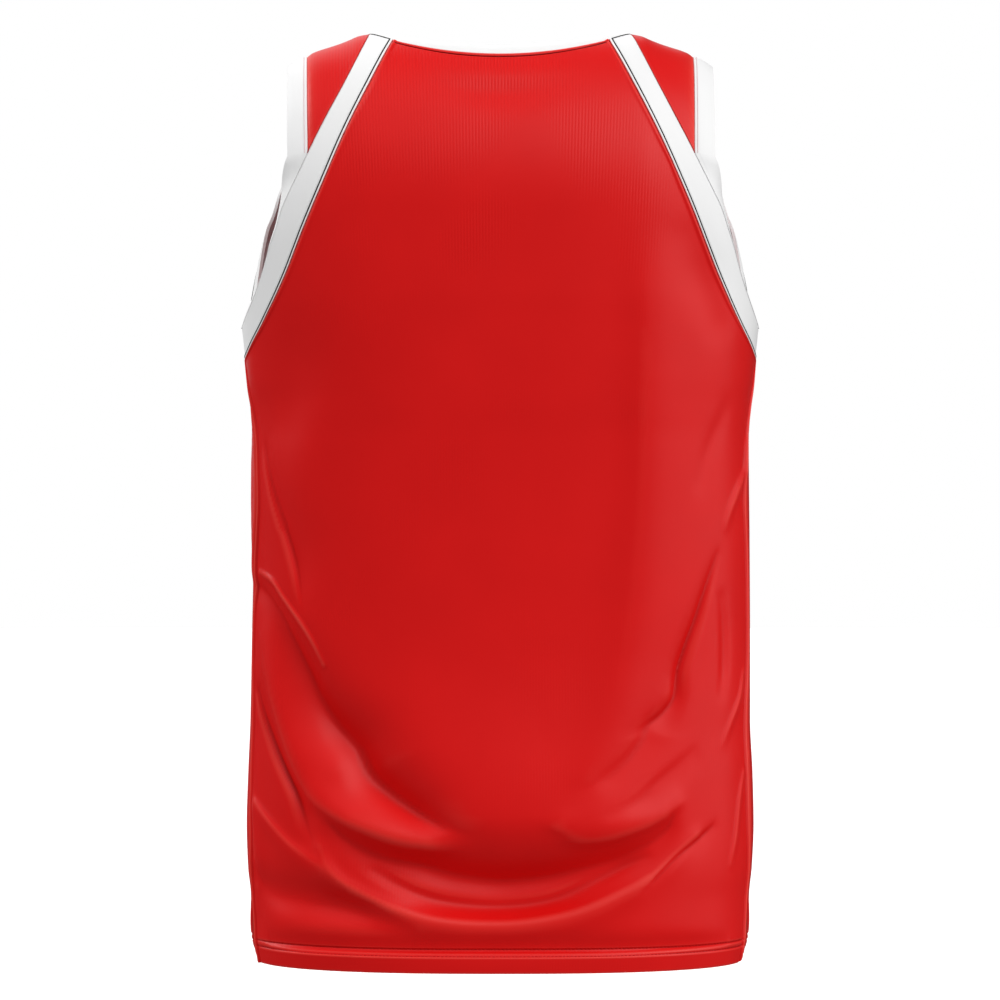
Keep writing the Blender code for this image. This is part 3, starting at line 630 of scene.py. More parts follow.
# The studio: an even sky that darkens downwards, and soft lamps: the way towards each, its strength and
# its angle. The gloss lamps only shine in the satin.
SKY_TOWARDS = (-0.3, 0.15, 0.94)
SKY_LEVEL = 0.6
SKY_DARKEST = 0.38
SKY_EDGE = 0.2
SUNS = (
    ("key", (-0.5, 0.55, 0.67), 1.68, 45),
    ("gloss_right", (-0.9, 0.35, 0.25), 2.0, 60),
    ("gloss_above", (0.15, 0.5, 0.85), 0.7, 60),
    ("rim", (0.82, -0.25, 0.52), 1.3, 25),
    ("front_fill", (0.35, -0.8, 0.5), 0.8, 60),
)


def smooth(knots, values, at):
    """Values at the given places on a cubic through the knots, which never overshoots them."""
    at = np.asarray(at, float)
    steps = np.diff(knots)
    slopes = np.diff(values) / steps
    before, after = slopes[:-1], slopes[1:]
    monotone = before * after > 0
    tangents = np.concatenate([slopes[:1], np.zeros(len(before)), slopes[-1:]])
    tangents[1:-1][monotone] = 2 * (before * after)[monotone] / (before + after)[monotone]
    i = np.clip(np.searchsorted(knots, at) - 1, 0, len(steps) - 1)
    t = np.clip((at - knots[i]) / steps[i], 0, 1)
    return (
        values[i] * (1 + 2 * t) * (1 - t) ** 2
        + values[i + 1] * t**2 * (3 - 2 * t)
        + steps[i] * (tangents[i] * t * (1 - t) ** 2 - tangents[i + 1] * t**2 * (1 - t))
    )


def unit(vectors):
    """Vectors at length 1."""
    return vectors / np.maximum(np.linalg.norm(vectors, axis=-1, keepdims=True), 1e-9)


def lengths(line):
    """Length along a line of points, at each of them."""
    return np.concatenate([[0], np.cumsum(np.linalg.norm(np.diff(line, axis=0), axis=-1))])


def read(columns, name, at):
    """A table's column at places along its first column."""
    return smooth(next(iter(columns.values())), columns[name], at)


def side_name(left):
    """The side's name, as the tables and the pieces have it."""
    return "left" if left else "right"


def half_width(turn, down):
    """Distance from the centre to the side that a place is on."""
    to_left = np.sin(np.radians(turn)) >= 0
    return np.where(to_left, read(SECTIONS, "left", down), read(SECTIONS, "right", down))


def depth(turn, down):
    """Depth behind or in front of the side line, whichever a place is on."""
    behind = np.cos(np.radians(turn)) >= 0
    return np.where(behind, read(SECTIONS, "back", down), read(SECTIONS, "front", down))


def slope(turn):
    """Drop in which the cloth rounds out from the shoulder line, behind or in front."""
    return np.where(np.cos(np.radians(turn)) >= 0, BACK_SLOPE, FRONT_SLOPE)


def shoulder(across):
    """Drop of the shoulder line at a distance from the centre."""
    return read(SHOULDER, "down", np.abs(across))


def plain(turn, down):
    """The garment without its folds: points in millimetres."""
    sine, cosine = np.sin(np.radians(turn)), np.cos(np.radians(turn))
    across = half_width(turn, down) * sine
    drop = np.clip((down - shoulder(across)) / slope(turn), 0, 1)
    rounding = np.sqrt(np.clip(1 - (1 - drop) ** 2, 0, 1))
    section = np.clip(1 - np.abs(sine) ** ROUNDNESS, 0, 1) ** (1 / ROUNDNESS)
    behind = np.sign(cosine) * depth(turn, down) * section * rounding
    return np.stack([across, behind, -down + 0 * across], -1)


def turn_of(across, down, front=False):
    """The turn of a place that lies a distance across from the centre, plus towards the left."""
    side = np.where(np.asarray(across) >= 0, 90, 270)
    angle = np.degrees(np.arcsin(np.clip(np.abs(across) / half_width(side, down), 0, 1)))
    angle = 180 - angle if front else angle
    return np.where(side == 90, angle, 360 - angle)


def turn_behind(behind, down, left):
    """The turn of a place near the side line, from how far it lies behind that line."""
    ratio = np.abs(behind) / depth(np.where(np.asarray(behind) >= 0, 0, 180), down)
    angle = np.degrees(np.arcsin((1 - ratio**ROUNDNESS) ** (1 / ROUNDNESS)))
    angle = np.where(np.asarray(behind) >= 0, angle, 180 - angle)
    return angle if left else 360 - angle


def girth_from(turn, centre):
    """Girth from a half's centre, as the folds count it."""
    return GIRTH_SCALE * ((turn - centre + 180) % 360 - 180)


def add_fold(total, crease, girth, down, front):
    """Adds a fold's height to that of the places, which are given by girth and drop."""
    line = girth_from(turn_of(crease["across"], crease["down"], front), 180 if front else 0)
    steps = np.linspace(0, len(line) - 1, FOLD_STEPS * (len(line) - 1) + 1)
    columns = (line, *(crease[name] for name in ("down", "height", "over", "under")))
    x, y, high, over, under = (spline(values, steps) for values in columns)
    margin = FOLD_REACH * max(over.max(), under.max())
    near = (girth > x.min() - margin) & (girth < x.max() + margin)
    near &= (down > y.min() - margin) & (down < y.max() + margin)
    place = np.stack([girth[near], down[near]], -1)
    nearest = np.full(len(place), np.inf)
    height, weights = np.zeros(len(place)), np.zeros(len(place))
    for a in range(len(steps) - 1):
        run = np.array([x[a + 1] - x[a], y[a + 1] - y[a]])
        length = np.hypot(*run)
        upward = np.array([run[1], -run[0]]) / length
        upward *= 1 if -upward[1] - INWARD_IS_UP * np.sign(x[a] + x[a + 1]) * upward[0] > 0 else -1
        away = place - np.array([x[a], y[a]])
        part = away @ run / length**2
        t = np.clip(part, 0, 1)
        aside = away @ upward
        wide = over[a] + t * (over[a + 1] - over[a])
        narrow = under[a] + t * (under[a + 1] - under[a])
        width = np.where(aside > 0, wide, narrow)
        distance = np.hypot(aside / width, 2 * (part - t) * length / (wide + narrow))
        nearest = np.minimum(nearest, distance)
        weight = np.exp(-FOLD_NEARNESS * distance**2)
        weights += weight
        height += weight * (high[a] + t * (high[a + 1] - high[a]))
    height /= np.maximum(weights, 1e-300)
    blunt, power = FOLD_BLUNTNESS**2, crease["bend"] / 2
    total[near] += height * np.exp(blunt**power - (nearest**2 + blunt) ** power)


def fold_height(turn, down):
    """Height of all the folds together, in millimetres along the cloth's normal."""
    turn, down = np.broadcast_arrays(np.asarray(turn, float), np.asarray(down, float))
    total = np.zeros(turn.size)
    for front, folds in ((False, BACK_FOLDS), (True, FRONT_FOLDS)):
        girth = girth_from(turn.ravel(), 180 if front else 0)
        for crease in folds:
            add_fold(total, crease, girth, down.ravel(), front)
    # The hem is stitched double, so the folds fade out towards it, and its edge curls in a little.
    fade = np.clip((LENGTH - down) / HEM_DEPTH, 0, 1)
    curl = HEM_CURL * np.clip(1 - (LENGTH - down) / HEM_DEPTH, 0, 1)
    return total.reshape(turn.shape) * fade * fade * (3 - 2 * fade) - curl


def cloth(places):
    """Points of the folded garment for a grid of places."""
    turn, down = places[..., 0], places[..., 1]
    points = plain(turn, down)
    reach = np.stack([half_width(turn, down), depth(turn, down)], -1)
    flat = points[..., :2] / reach
    outward = unit(np.sign(flat) * np.abs(flat) ** (ROUNDNESS - 1) / reach)
    points[..., :2] += outward * fold_height(turn, down)[..., None]
    return points


def between(start, end, parts):
    """A grid of places from one seam's places to another's, at the given parts of the way."""
    t = np.asarray(parts)[None, :, None]
    return start[:, None] * (1 - t) + end[:, None] * t


def places(turn, down):
    """Places from turns and drops."""
    return np.stack(np.broadcast_arrays(np.asarray(turn, float), np.asarray(down, float)), -1)


def spline(values, at, corners=()):
    """Values at fractional steps along the first axis, on a smooth curve that may turn at the corners."""
    values, at = np.asarray(values, float), np.asarray(at, float)
    made = np.empty((len(at), *values.shape[1:]))
    stops = [0, *corners, len(values) - 1]
    for first, last in zip(stops[:-1], stops[1:]):
        run = values[first : last + 1]
        run = np.concatenate([2 * run[:1] - run[1:2], run, 2 * run[-1:] - run[-2:-1]])
        here = (at >= first) & (at <= last)
        i = np.minimum(at[here].astype(int) - first, last - first - 1)
        t = (at[here] - first - i).reshape(-1, *[1] * (values.ndim - 1))
        a, b, c, d = (run[i + k] for k in range(4))
        made[here] = b + 0.5 * t * (c - a + t * (2 * a - 5 * b + 4 * c - d + t * (3 * (b - c) + d - a)))
    return made


def cut(counts):
    """Places in coarse steps, with each step cut into the given count of fine ones."""
    return np.concatenate([[0.0], *(i + np.arange(1, n + 1) / n for i, n in enumerate(counts))])


def crowded(count):
    """Parts from 0 to 1 that crowd towards both ends."""
    return 0.5 - 0.5 * np.cos(np.pi * np.linspace(0, 1, count + 1))


# The fine grids' steps as places in coarse ones, along a stripe and down a panel, and the rows that the
# yoke's tip, the underarm and the vent's top are on.
TOP_CUT = [*NECK_CUT, *[ARMHOLE_CUT] * (YOKE_STEPS + ARMHOLE_STEPS - len(NECK_CUT))]
SEAM_CUT = cut(TOP_CUT)
PANEL_CUT = cut([*TOP_CUT, *SIDE_CUT, *HEM_CUT])
UNDERARM_ROW = YOKE_STEPS + ARMHOLE_STEPS
VENT_ROW = UNDERARM_ROW + SIDE_STEPS
YOKE_ROWS = np.searchsorted(SEAM_CUT, YOKE_STEPS) + 1
UNDERARM_FINE, VENT_FINE = np.searchsorted(PANEL_CUT, (UNDERARM_ROW, VENT_ROW))


def side_seam(down, left):
    """Turns of the side seam."""
    return turn_behind(read(SIDE_SEAM, "behind", down), down, left)


def stretch(seam, left, front, start, end, end_turn, steps, crowding=1.0):
    """Places along a stretch of a seam, in even steps, or ones that crowd towards its start. With an
    end turn, the stretch closes on that turn."""
    down = np.linspace(start, end, SEAM_SAMPLES)
    across = read(seam, side_name(left), down)
    turn = turn_of(across if left else -across, down, front)
    if end_turn is not None:
        turn[-1] = end_turn
    length = lengths(plain(turn, down))
    at = length[-1] * np.linspace(0, 1, steps + 1) ** crowding
    return places(np.interp(at, length, turn), np.interp(at, length, down))


def stripe_seam(seam, left, front, start, middle, end):
    """Places along a seam of a stripe, from the neck past the yoke's tip to the side seam."""
    upper = stretch(seam, left, front, start, middle, None, YOKE_STEPS, NECK_CROWDING)
    under_arm = side_seam(UNDERARM_POINT, left)
    lower = stretch(seam, left, front, middle, end, under_arm, ARMHOLE_STEPS)
    return np.concatenate([upper, lower[1:]])


def inner_seam(left, front, inset=0.0):
    """Places along a stripe's inner seam, neck to underarm, moved by the inset towards the panel."""
    start = STRIPE_NECK_FRONT if front else STRIPE_NECK_BACK
    seam = FRONT_INNER if front else BACK_INNER
    line = stripe_seam(seam, left, front, start, ACROSS_TIP, UNDERARM_POINT)
    turn, down = line[:, 0], line[:, 1]
    if inset:
        girth_way, down_way = np.gradient(line * np.array([GIRTH_SCALE, 1.0]), axis=0).T
        length = np.hypot(girth_way, down_way)
        turn += inset * (1 if front == left else -1) * down_way / length / GIRTH_SCALE
        down += inset * np.abs(girth_way) / length
        down[-1] = UNDERARM_POINT + inset
        turn[-1] = side_seam(down[-1], left)
    down[0] = neck_down(turn[0], front)
    return places(turn, down)


def outer_seam(left, front):
    """Places along a stripe's outer seam, neck to underarm."""
    seam = FRONT_OUTER if front else BACK_OUTER
    return stripe_seam(seam, left, front, seam["down"][0], YOKE_TIP, ARMHOLE_DROP)


def neck_down(turn, front):
    """Drop of the neck seam at a turn."""
    drop, bend = (FRONT_NECK_DROP, FRONT_NECK_BEND) if front else (BACK_NECK_DROP, BACK_NECK_BEND)
    down = np.full(np.shape(turn), 0.5 * drop)
    for _ in range(NECK_PASSES):
        across = np.abs(half_width(turn, down) * np.sin(np.radians(turn)))
        down = drop * np.clip(1 - (across / NECK_HALF_WIDTH) ** 2, 0, 1) ** bend
    return down


def panel_side(left, front):
    """Places down a side of a panel: past the stripe, along the side seam and along the vent."""
    upper = inner_seam(left, front, PIPING_WIDTH)
    seam_down = np.linspace(upper[-1, 1], VENT_TOP, SIDE_STEPS + 1)[1:]
    vent_down = np.linspace(VENT_TOP, LENGTH, VENT_STEPS + 1)[1:]
    vent_turn = side_seam(vent_down, left)
    if front:
        vent_turn = turn_behind(read(FRONT_VENT, "behind", vent_down), vent_down, left)
    side = places(side_seam(seam_down, left), seam_down)
    return np.concatenate([upper, side, places(vent_turn, vent_down)])


def panel(front):
    """Places of the back or front panel, from the neck to the hem."""
    left_side, right_side = panel_side(True, front), panel_side(False, front)
    columns = FRONT_COLUMNS if front else BACK_COLUMNS
    parts = np.linspace(0, 1, columns + 1)
    if front:
        grid = between(left_side, right_side, parts)
    else:
        grid = between(right_side - np.array([360.0, 0.0]), left_side, parts)
    # Away from the sides the rows are evened out, down to the vents.
    inside = np.sin(np.linspace(0, np.pi, grid.shape[1])) ** EVENED_POWER
    for _ in range(EVENING):
        down = grid[: -VENT_STEPS, :, 1]
        mean = (down[:-2] + 2 * down[1:-1] + down[2:]) / 4
        down[1:-1] += (mean - down[1:-1]) * inside
    # The rows sag to the neckline at the top and level out below it.
    dip = neck_down(grid[0, :, 0], front) - grid[0, :, 1]
    dip[[0, -1]] = 0
    settle = FRONT_SAG_ROWS if front else BACK_SAG_ROWS
    for row in range(settle):
        grid[row, :, 1] += dip * (1 - row / settle) ** SAG_POWER
    # Cut fine, and finest along the edges.
    edge = np.linspace(0, 1, EDGE_CUT + 1) ** EDGE_CROWDING
    flank = columns // 4
    inside = cut([FLANK_CUT] * flank + [MIDDLE_CUT] * (columns - 2 - 2 * flank) + [FLANK_CUT] * flank)
    across = np.concatenate([edge, 1 + inside[1:], columns - edge[-2::-1]])
    grid = spline(grid, PANEL_CUT, (UNDERARM_ROW, VENT_ROW))
    return spline(grid.swapaxes(0, 1), across).swapaxes(0, 1)


def fine_seam(line):
    """A seam's places, cut fine."""
    return spline(line, SEAM_CUT)


def stripe(left, front):
    """Places of a stripe: its rows run from its inner to its outer seam."""
    inner, outer = fine_seam(inner_seam(left, front)), fine_seam(outer_seam(left, front))
    return between(inner, outer, crowded(STRIPE_CUT))


def piping(left, front):
    """Places of the piping between stripe and panel."""
    panel_side = fine_seam(inner_seam(left, front, PIPING_WIDTH))
    return between(panel_side, fine_seam(inner_seam(left, front)), np.linspace(0, 1, PIPING_CUT + 1))


def yoke(left):
    """Places of a shoulder yoke: each row runs over the shoulder, from the back to the front stripe."""
    back = fine_seam(outer_seam(left, False))[:YOKE_ROWS]
    front = fine_seam(outer_seam(left, True))[:YOKE_ROWS]
    neck_end = NECK_HALF_WIDTH - YOKE_OVERLAP
    tops = neck_end + (SHOULDER_HALF_WIDTH - neck_end) * SEAM_CUT[:YOKE_ROWS] / YOKE_STEPS
    # From 1 at a stripe to 0 on top of the shoulder, crowded towards the stripe.
    parts = 2 * crowded(SHOULDER_CUT)[SHOULDER_CUT // 2 :][::-1] - 1
    rows = []
    for behind, ahead, on_top in zip(back, front, tops):
        row = []
        for end, is_front in ((behind, False), (ahead, True)):
            across_end = np.abs(half_width(*end) * np.sin(np.radians(end[0])))
            rise = np.arccos(1 - (end[1] - shoulder(across_end)) / slope(end[0]))
            across = on_top + (across_end - on_top) * parts
            down = shoulder(across) + slope(end[0]) * (1 - np.cos(rise * parts))
            line = places(turn_of(across if left else -across, down, is_front), down)
            line[0] = end
            row.append(line[::-1] if is_front else line[:-1])
        rows.append(np.concatenate(row))
    return np.array(rows)


def ribbon(base, lean, width):
    """Rows of points from a closed seam to a binding's free edge. lean is the unit way across it."""
    normal = unit(np.cross(np.roll(base, -1, 0) - np.roll(base, 1, 0), lean))
    normal *= BINDING_ROLL * np.sign(np.sum(normal * (base - base.mean(0)), -1).sum())
    return np.array([base + lean * width * t + normal * np.sin(np.pi * t) for t in crowded(BINDING_CUT)])


def angle_of(ways):
    """Angle in degrees between ways in a plane and its second axis."""
    return np.degrees(np.arccos(np.clip(ways[:, 1], -1, 1)))


def armhole_binding(left, skins):
    """Points of an armhole binding, from the seam round the armhole to its edge."""
    side = side_name(left)
    back = skins["back_stripe_" + side][YOKE_ROWS - 1 :, -1][::-1]
    front = skins["front_stripe_" + side][YOKE_ROWS - 1 :, -1]
    base = np.concatenate([back, skins["shoulder_yoke_" + side][-1, 1:-1], front[:-1]])
    to_hub = unit(np.stack([-base[:, 1], -ARMHOLE_CENTRE - base[:, 2]], -1))
    out, hub = (read(ARMHOLE_LEAN, name, angle_of(to_hub)) for name in ("out", "hub"))
    lean = np.stack([out * (1 if left else -1), hub * to_hub[:, 0], hub * to_hub[:, 1]], -1)
    return ribbon(base, unit(lean), ARMHOLE_BINDING)


def neck_binding(skins):
    """Points of the neck binding, from the neck seam to its edge."""

    def over(side):
        """The neck ends of the pieces on one side, back to front."""
        return [
            skins["back_piping_" + side][0],
            skins["back_stripe_" + side][0],
            skins["shoulder_yoke_" + side][0],
            skins["front_stripe_" + side][0][::-1],
            skins["front_piping_" + side][0][::-1],
        ]

    left = [skins["back_panel"][0]] + over("left") + [skins["front_panel"][0]]
    right = [line[::-1] for line in over("right")[::-1]]
    base = np.concatenate([line[:-1] for line in left + right])
    from_centre = unit(base[:, :2] - np.array([0.0, NECK_CENTRE_BEHIND]))
    inward, up = (read(NECK_LEAN, name, angle_of(from_centre)) for name in ("inward", "up"))
    lean = np.concatenate([-from_centre * inward[:, None], up[:, None]], -1)
    return ribbon(base, unit(lean), NECK_BINDING)


def quads(shape, ring):
    """Corner indices of a grid's quads, in rows and columns."""
    rows, columns = shape
    last = columns if ring else columns - 1
    r, c = np.meshgrid(np.arange(rows - 1), np.arange(last), indexing="ij")
    after = (c + 1) % columns
    corners = [r * columns + c, r * columns + after, (r + 1) * columns + after, (r + 1) * columns + c]
    return np.stack(corners, -1).reshape(-1, 4)


def facing(points, faces):
    """Unit normals of quads."""
    a, b, c, d = (points[faces[:, k]] for k in range(4))
    return unit(np.cross(c - a, d - b))


def shared_normals(skins, rings):
    """Which skins' quads must be turned, and the ways in from their points, mitred where pieces meet."""
    turned, keys, corners, normals, start = {}, [], [], [], 0
    for name, grid in skins.items():
        points = grid.reshape(-1, 3)
        found = quads(grid.shape[:2], name in rings)
        normal = facing(points, found)
        middles = points[found].mean(1) * np.array([1.0, 1.0, 0.0])
        turned[name] = np.sum(normal * middles) < 0
        keys.append(np.round(points, 3))
        corners.append((found + start).ravel())
        normals.append(np.repeat(-normal if turned[name] else normal, 4, 0))
        start += len(points)
    _, shared = np.unique(np.concatenate(keys), axis=0, return_inverse=True)
    shared = shared.ravel()
    total = np.zeros((shared.max() + 1, 3))
    count = np.zeros(len(total))
    at = shared[np.concatenate(corners)]
    np.add.at(total, at, np.concatenate(normals))
    np.add.at(count, at, 1)
    mean = (total / count[:, None])[shared]
    size = np.linalg.norm(mean, axis=-1, keepdims=True)
    ways = -mean / size / np.maximum(size, LEAST_MITRE)
    inward, start = {}, 0
    for name, grid in skins.items():
        count = grid.shape[0] * grid.shape[1]
        inward[name] = ways[start : start + count].reshape(grid.shape)
        start += count
    return turned, inward


def part_seams(skin, inward, ring):
    """How far each point moves, within the cloth, to draw the edges back by half the seam gap."""
    moves = np.zeros_like(skin)
    sides = [(np.s_[0], np.s_[1]), (np.s_[-1], np.s_[-2])]
    if not ring:
        sides += [(np.s_[:, 0], np.s_[:, 1]), (np.s_[:, -1], np.s_[:, -2])]
    for edge, next_in in sides:
        line = skin[edge]
        if ring:
            along = np.roll(line, -1, 0) - np.roll(line, 1, 0)
        else:
            along = np.gradient(line, axis=0)
        way = unit(np.cross(along, inward[edge]))
        way *= np.sign(np.sum(way * (skin[next_in] - line)))
        moves[edge] += way * SEAM_GAP / 2
    return moves


def from_edges(skin):
    """Distances of a grid's points from its first and last row, and from its first and last column."""
    down = np.linalg.norm(np.diff(skin, axis=0), axis=-1).cumsum(0)
    down = np.concatenate([0 * down[:1], down])
    over = np.linalg.norm(np.diff(skin, axis=1), axis=-1).cumsum(1)
    over = np.concatenate([0 * over[:, :1], over], 1)
    return down, down[-1:] - down, over, over[:, -1:] - over


def bumps(kind, distance):
    """Height at a distance from an edge, of all the bumps of a kind."""
    away = distance[..., None]
    height, centre, width = np.array(BUMPS[kind]).T
    return np.sum(height * np.exp(-(((away - centre) / width) ** 2)), -1)


def round_hem(skin):
    """Rounds the back panel's two corners at the hem."""
    _, _, first, last = from_edges(skin)
    for distance, radius in zip((first, last), HEM_CORNERS):
        inset = np.clip(radius - distance, 0, radius)
        rise = radius - np.sqrt(radius**2 - inset**2)
        skin[..., 2] += rise * np.clip(1 - (LENGTH + skin[..., 2]) / (CORNER_REACH * radius), 0, 1)


def relief(name, skin):
    """Height of the seams, hems and stitching over the skin."""
    top, below, first, last = from_edges(skin)
    if "panel" in name:
        bottom = LENGTH + skin[..., 2]
        side = np.clip((-skin[..., 2] - UNDERARM_POINT) / SIDE_ROLL_GROWS, 0, 1)
        kind = "back side" if "back" in name else "front side"
        high = bumps("panel neck", top) + bumps("hem edge", bottom) + HEM_RISE * (bottom < HEM_LINES[0])
        for edge in (first, last):
            high += (1 - side) * bumps("panel edge", edge) + side * bumps(kind, edge)
        inside = np.clip(np.minimum(first, last) / HEM_FADES, 0, 1)
        return high + inside * bumps("hem", bottom)
    if "piping" in name:
        return PIPING_RISE * np.sin(np.pi * first / (first + last))
    if "binding" in name:
        return bumps("binding", top)
    high = bumps("stripe or yoke", first) + bumps("stripe or yoke", last)
    return high + bumps("yoke armhole", below) if "yoke" in name else high


def run_ends(size, skips):
    """Slices to the points before and after each left-out one, or twice to all that stay."""
    return [np.s_[2 * k * skips : size - 2 * (1 - k) * skips : 2] for k in (0, 1)]


def every_second(points, inward):
    """Every second point of a wall's inside, set deeper where the run past a left-out point would rise
    over it."""
    rows, columns = points.shape[:2]
    short = np.zeros((rows, columns))
    for down, over in ((1, 0), (0, 1), (1, 1)):
        left_out = np.s_[down::2, over::2]
        ends = [points[r, c] for r in run_ends(rows, down) for c in run_ends(columns, over)]
        gap = np.sum((points[left_out] - np.mean(ends, 0)) * inward[left_out], -1)
        short[left_out] = np.maximum(gap, 0)
    short = np.pad(short, 1)
    around = [short[a : a + rows : 2, b : b + columns : 2] for a in range(3) for b in range(3)]
    return points[::2, ::2] + inward[::2, ::2] * np.max(around, 0)[..., None]


def ridden(name, mesh):
    """A piece with the mesh, on the one body."""
    piece = bpy.data.objects.new(name, mesh)
    bpy.context.collection.objects.link(piece)
    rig.ride(piece, "root")
    return piece


def wall_faces(outer, inner, turned, ring):
    """Corner indices of a wall's outer faces, of its inner ones and of its rims."""
    faces, edges = [], []
    for grid, start in ((outer, 0), (inner, outer.shape[0] * outer.shape[1])):
        rows, columns = grid.shape[:2]
        found = quads((rows, columns), ring) + start
        faces.append((found[:, ::-1] if turned == (start == 0) else found).tolist())
        index = np.arange(rows * columns).reshape(rows, columns) + start
        border = np.concatenate([index[0], index[1:, -1], index[-1, -2::-1], index[-2:0:-1, 0]])
        edges.append([index[0], index[-1][::-1]] if ring else [border])
    step = 1 if ring else 2
    rims = []
    for outside, inside in zip(*edges):
        spans = [np.roll(outside, -k)[::step] for k in range(step, -1, -1)]
        rim = np.stack([*spans, inside, np.roll(inside, -1)], -1)
        rims += (rim[:, ::-1] if turned else rim).tolist()
    return [*faces, rims]


def wall(name, skin, turned, inward, ring, materials):
    """A closed wall of cloth on its outer skin, with the materials of its face and its inside. Away from
    the rings its inside has every second point."""
    folded = -skin[:, :, 2] > LENGTH - HEM_DEPTH if "panel" in name else ring
    thickness = np.where(folded, FOLDED, np.full(skin.shape[:2], CLOTH))
    outer = skin + part_seams(skin, inward, ring)
    inner = outer + inward * thickness[..., None]
    if not ring:
        inner = every_second(inner, inward)
    outer = outer - inward * relief(name, skin)[..., None]
    faces = wall_faces(outer, inner, turned, ring)
    points = np.concatenate([outer.reshape(-1, 3), inner.reshape(-1, 3)]) * MM
    mesh = bpy.data.meshes.new(name)
    mesh.from_pydata(points.tolist(), [], sum(faces, []))
    for material in materials:
        mesh.materials.append(material)
    slots = np.repeat([0, 1, 0], [len(part) for part in faces])
    mesh.polygons.foreach_set("material_index", slots.astype(np.int32))
    mesh.shade_smooth()
    mesh.set_sharp_from_angle(angle=np.radians(SHARP_ANGLE))
    return ridden(name, mesh)


def write_map(piece, grid):
    """Gives a piece a map with girth and drop in metres, for its knit."""
    flat = np.concatenate([grid.reshape(-1, 2), grid[::2, ::2].reshape(-1, 2)])
    mesh = piece.data
    corner = np.empty(len(mesh.loops), np.int32)
    mesh.loops.foreach_get("vertex_index", corner)
    layer = mesh.uv_layers.new(name="cloth")
    layer.data.foreach_set("uv", flat[corner].astype(np.float32).ravel())


def girth_of(turn):
    """Girth in metres at a turn, on the chest's section."""
    turns = np.linspace(-180, 360, GIRTH_SAMPLES)
    length = lengths(plain(turns, np.full(len(turns), CHEST)))
    return (np.interp(turn, turns, length) - np.interp(0, turns, length)) * MM


def sewn(name, middles, outward, radii, material):
    """A mesh of threads that ride on the cloth. Each thread is a row of middles, with the way out of the
    cloth and the radius at each, and is closed at its ends."""
    along = unit(np.gradient(middles, axis=1))
    aside = unit(np.cross(along, outward))
    out = np.cross(aside, along)
    angle = np.linspace(0, 2 * np.pi, THREAD_SIDES, endpoint=False)[:, None]
    rings = middles[:, :, None] + radii[..., None, None] * (
        np.cos(angle) * aside[:, :, None] + np.sin(angle) * out[:, :, None]
    )
    count, steps = rings.shape[:2]
    cap = np.arange(THREAD_SIDES)
    start = np.arange(count)[:, None, None] * steps * THREAD_SIDES
    faces = (quads((steps, THREAD_SIDES), True) + start).reshape(-1, 4).tolist()
    faces += (cap[::-1] + start[:, 0]).tolist()
    faces += (cap + start[:, 0] + (steps - 1) * THREAD_SIDES).tolist()
    mesh = bpy.data.meshes.new(name)
    mesh.from_pydata((rings.reshape(-1, 3) * MM).tolist(), [], faces)
    mesh.materials.append(material)
    mesh.shade_smooth()
    return ridden(name, mesh)


def stitches(name, line, outward, material):
    """A row of stitches along a line on the cloth, each a small spindle that dips in at its ends."""
    way = lengths(line)
    starts = np.arange(STITCH_GAP, way[-1] - STITCH, STITCH + STITCH_GAP)
    at = starts[:, None] + STITCH * STITCH_SHAPE["part"]
    middles = np.stack([np.interp(at, way, line[:, k]) for k in range(3)], -1)
    out = unit(np.stack([np.interp(at, way, outward[:, k]) for k in range(3)], -1))
    middles += out * (THREAD * STITCH_SHAPE["lift"])[:, None]
    return sewn(name, middles, out, np.broadcast_to(THREAD * STITCH_SHAPE["girth"], at.shape), material)


def line_at(grid, distance, at):
    """The line over a grid's columns where a distance that rises from row to row has a given value."""
    return np.array([
        [np.interp(at, distance[:, c], grid[:, c, k]) for k in range(3)] for c in range(grid.shape[1])
    ])


class Nodes:
    """A material's nodes, made and joined in short lines. An input is a number, a colour or an output."""

    def __init__(self, name):
        self.material = bpy.data.materials.new(name)
        self.material.use_nodes = True
        self.tree = self.material.node_tree

    def give(self, node, inputs):
        """Sets a node's inputs, or joins them to outputs."""
        for key, value in inputs.items():
            if isinstance(value, bpy.types.NodeSocket):
                self.tree.links.new(value, node.inputs[key])
            else:
                node.inputs[key].default_value = value

    def add(self, kind, inputs=None, **settings):
        """The outputs of a new node."""
        node = self.tree.nodes.new("ShaderNode" + kind)
        for key, value in settings.items():
            setattr(node, key, value)
        self.give(node, inputs or {})
        return node.outputs

    def math(self, operation, *inputs):
        """The result of a sum, a product or another operation."""
        return self.add("Math", dict(enumerate(inputs)), operation=operation)[0]

    def ramp(self, value, low, high, top=1.0):
        """Rises from 0 to the top as the value goes from low to high."""
        inputs = {"Value": value, "From Min": low, "From Max": high, "To Max": top}
        return self.add("MapRange", inputs)["Result"]

    def noise(self, place, scale, detail=1.0):
        """Noise between 0 and 1, the finer the larger its scale."""
        return self.add("TexNoise", {"Vector": place, "Scale": scale, "Detail": detail})["Fac"]

    def mix(self, share, first, second):
        """The first colour, with a share of the second."""
        return self.add("MixRGB", {"Fac": share, "Color1": first, "Color2": second})["Color"]

    def bump(self, height, strength, distance):
        """Normals for a height, in which 1 stands for the distance in metres."""
        inputs = {"Height": height, "Strength": strength, "Distance": distance}
        return self.add("Bump", inputs)["Normal"]

    def shade(self, **inputs):
        """Gives the shader its inputs, with _ for a space in their names, and returns the material."""
        shader = self.tree.nodes["Principled BSDF"]
        self.give(shader, {key.replace("_", " "): value for key, value in inputs.items()})
        return self.material


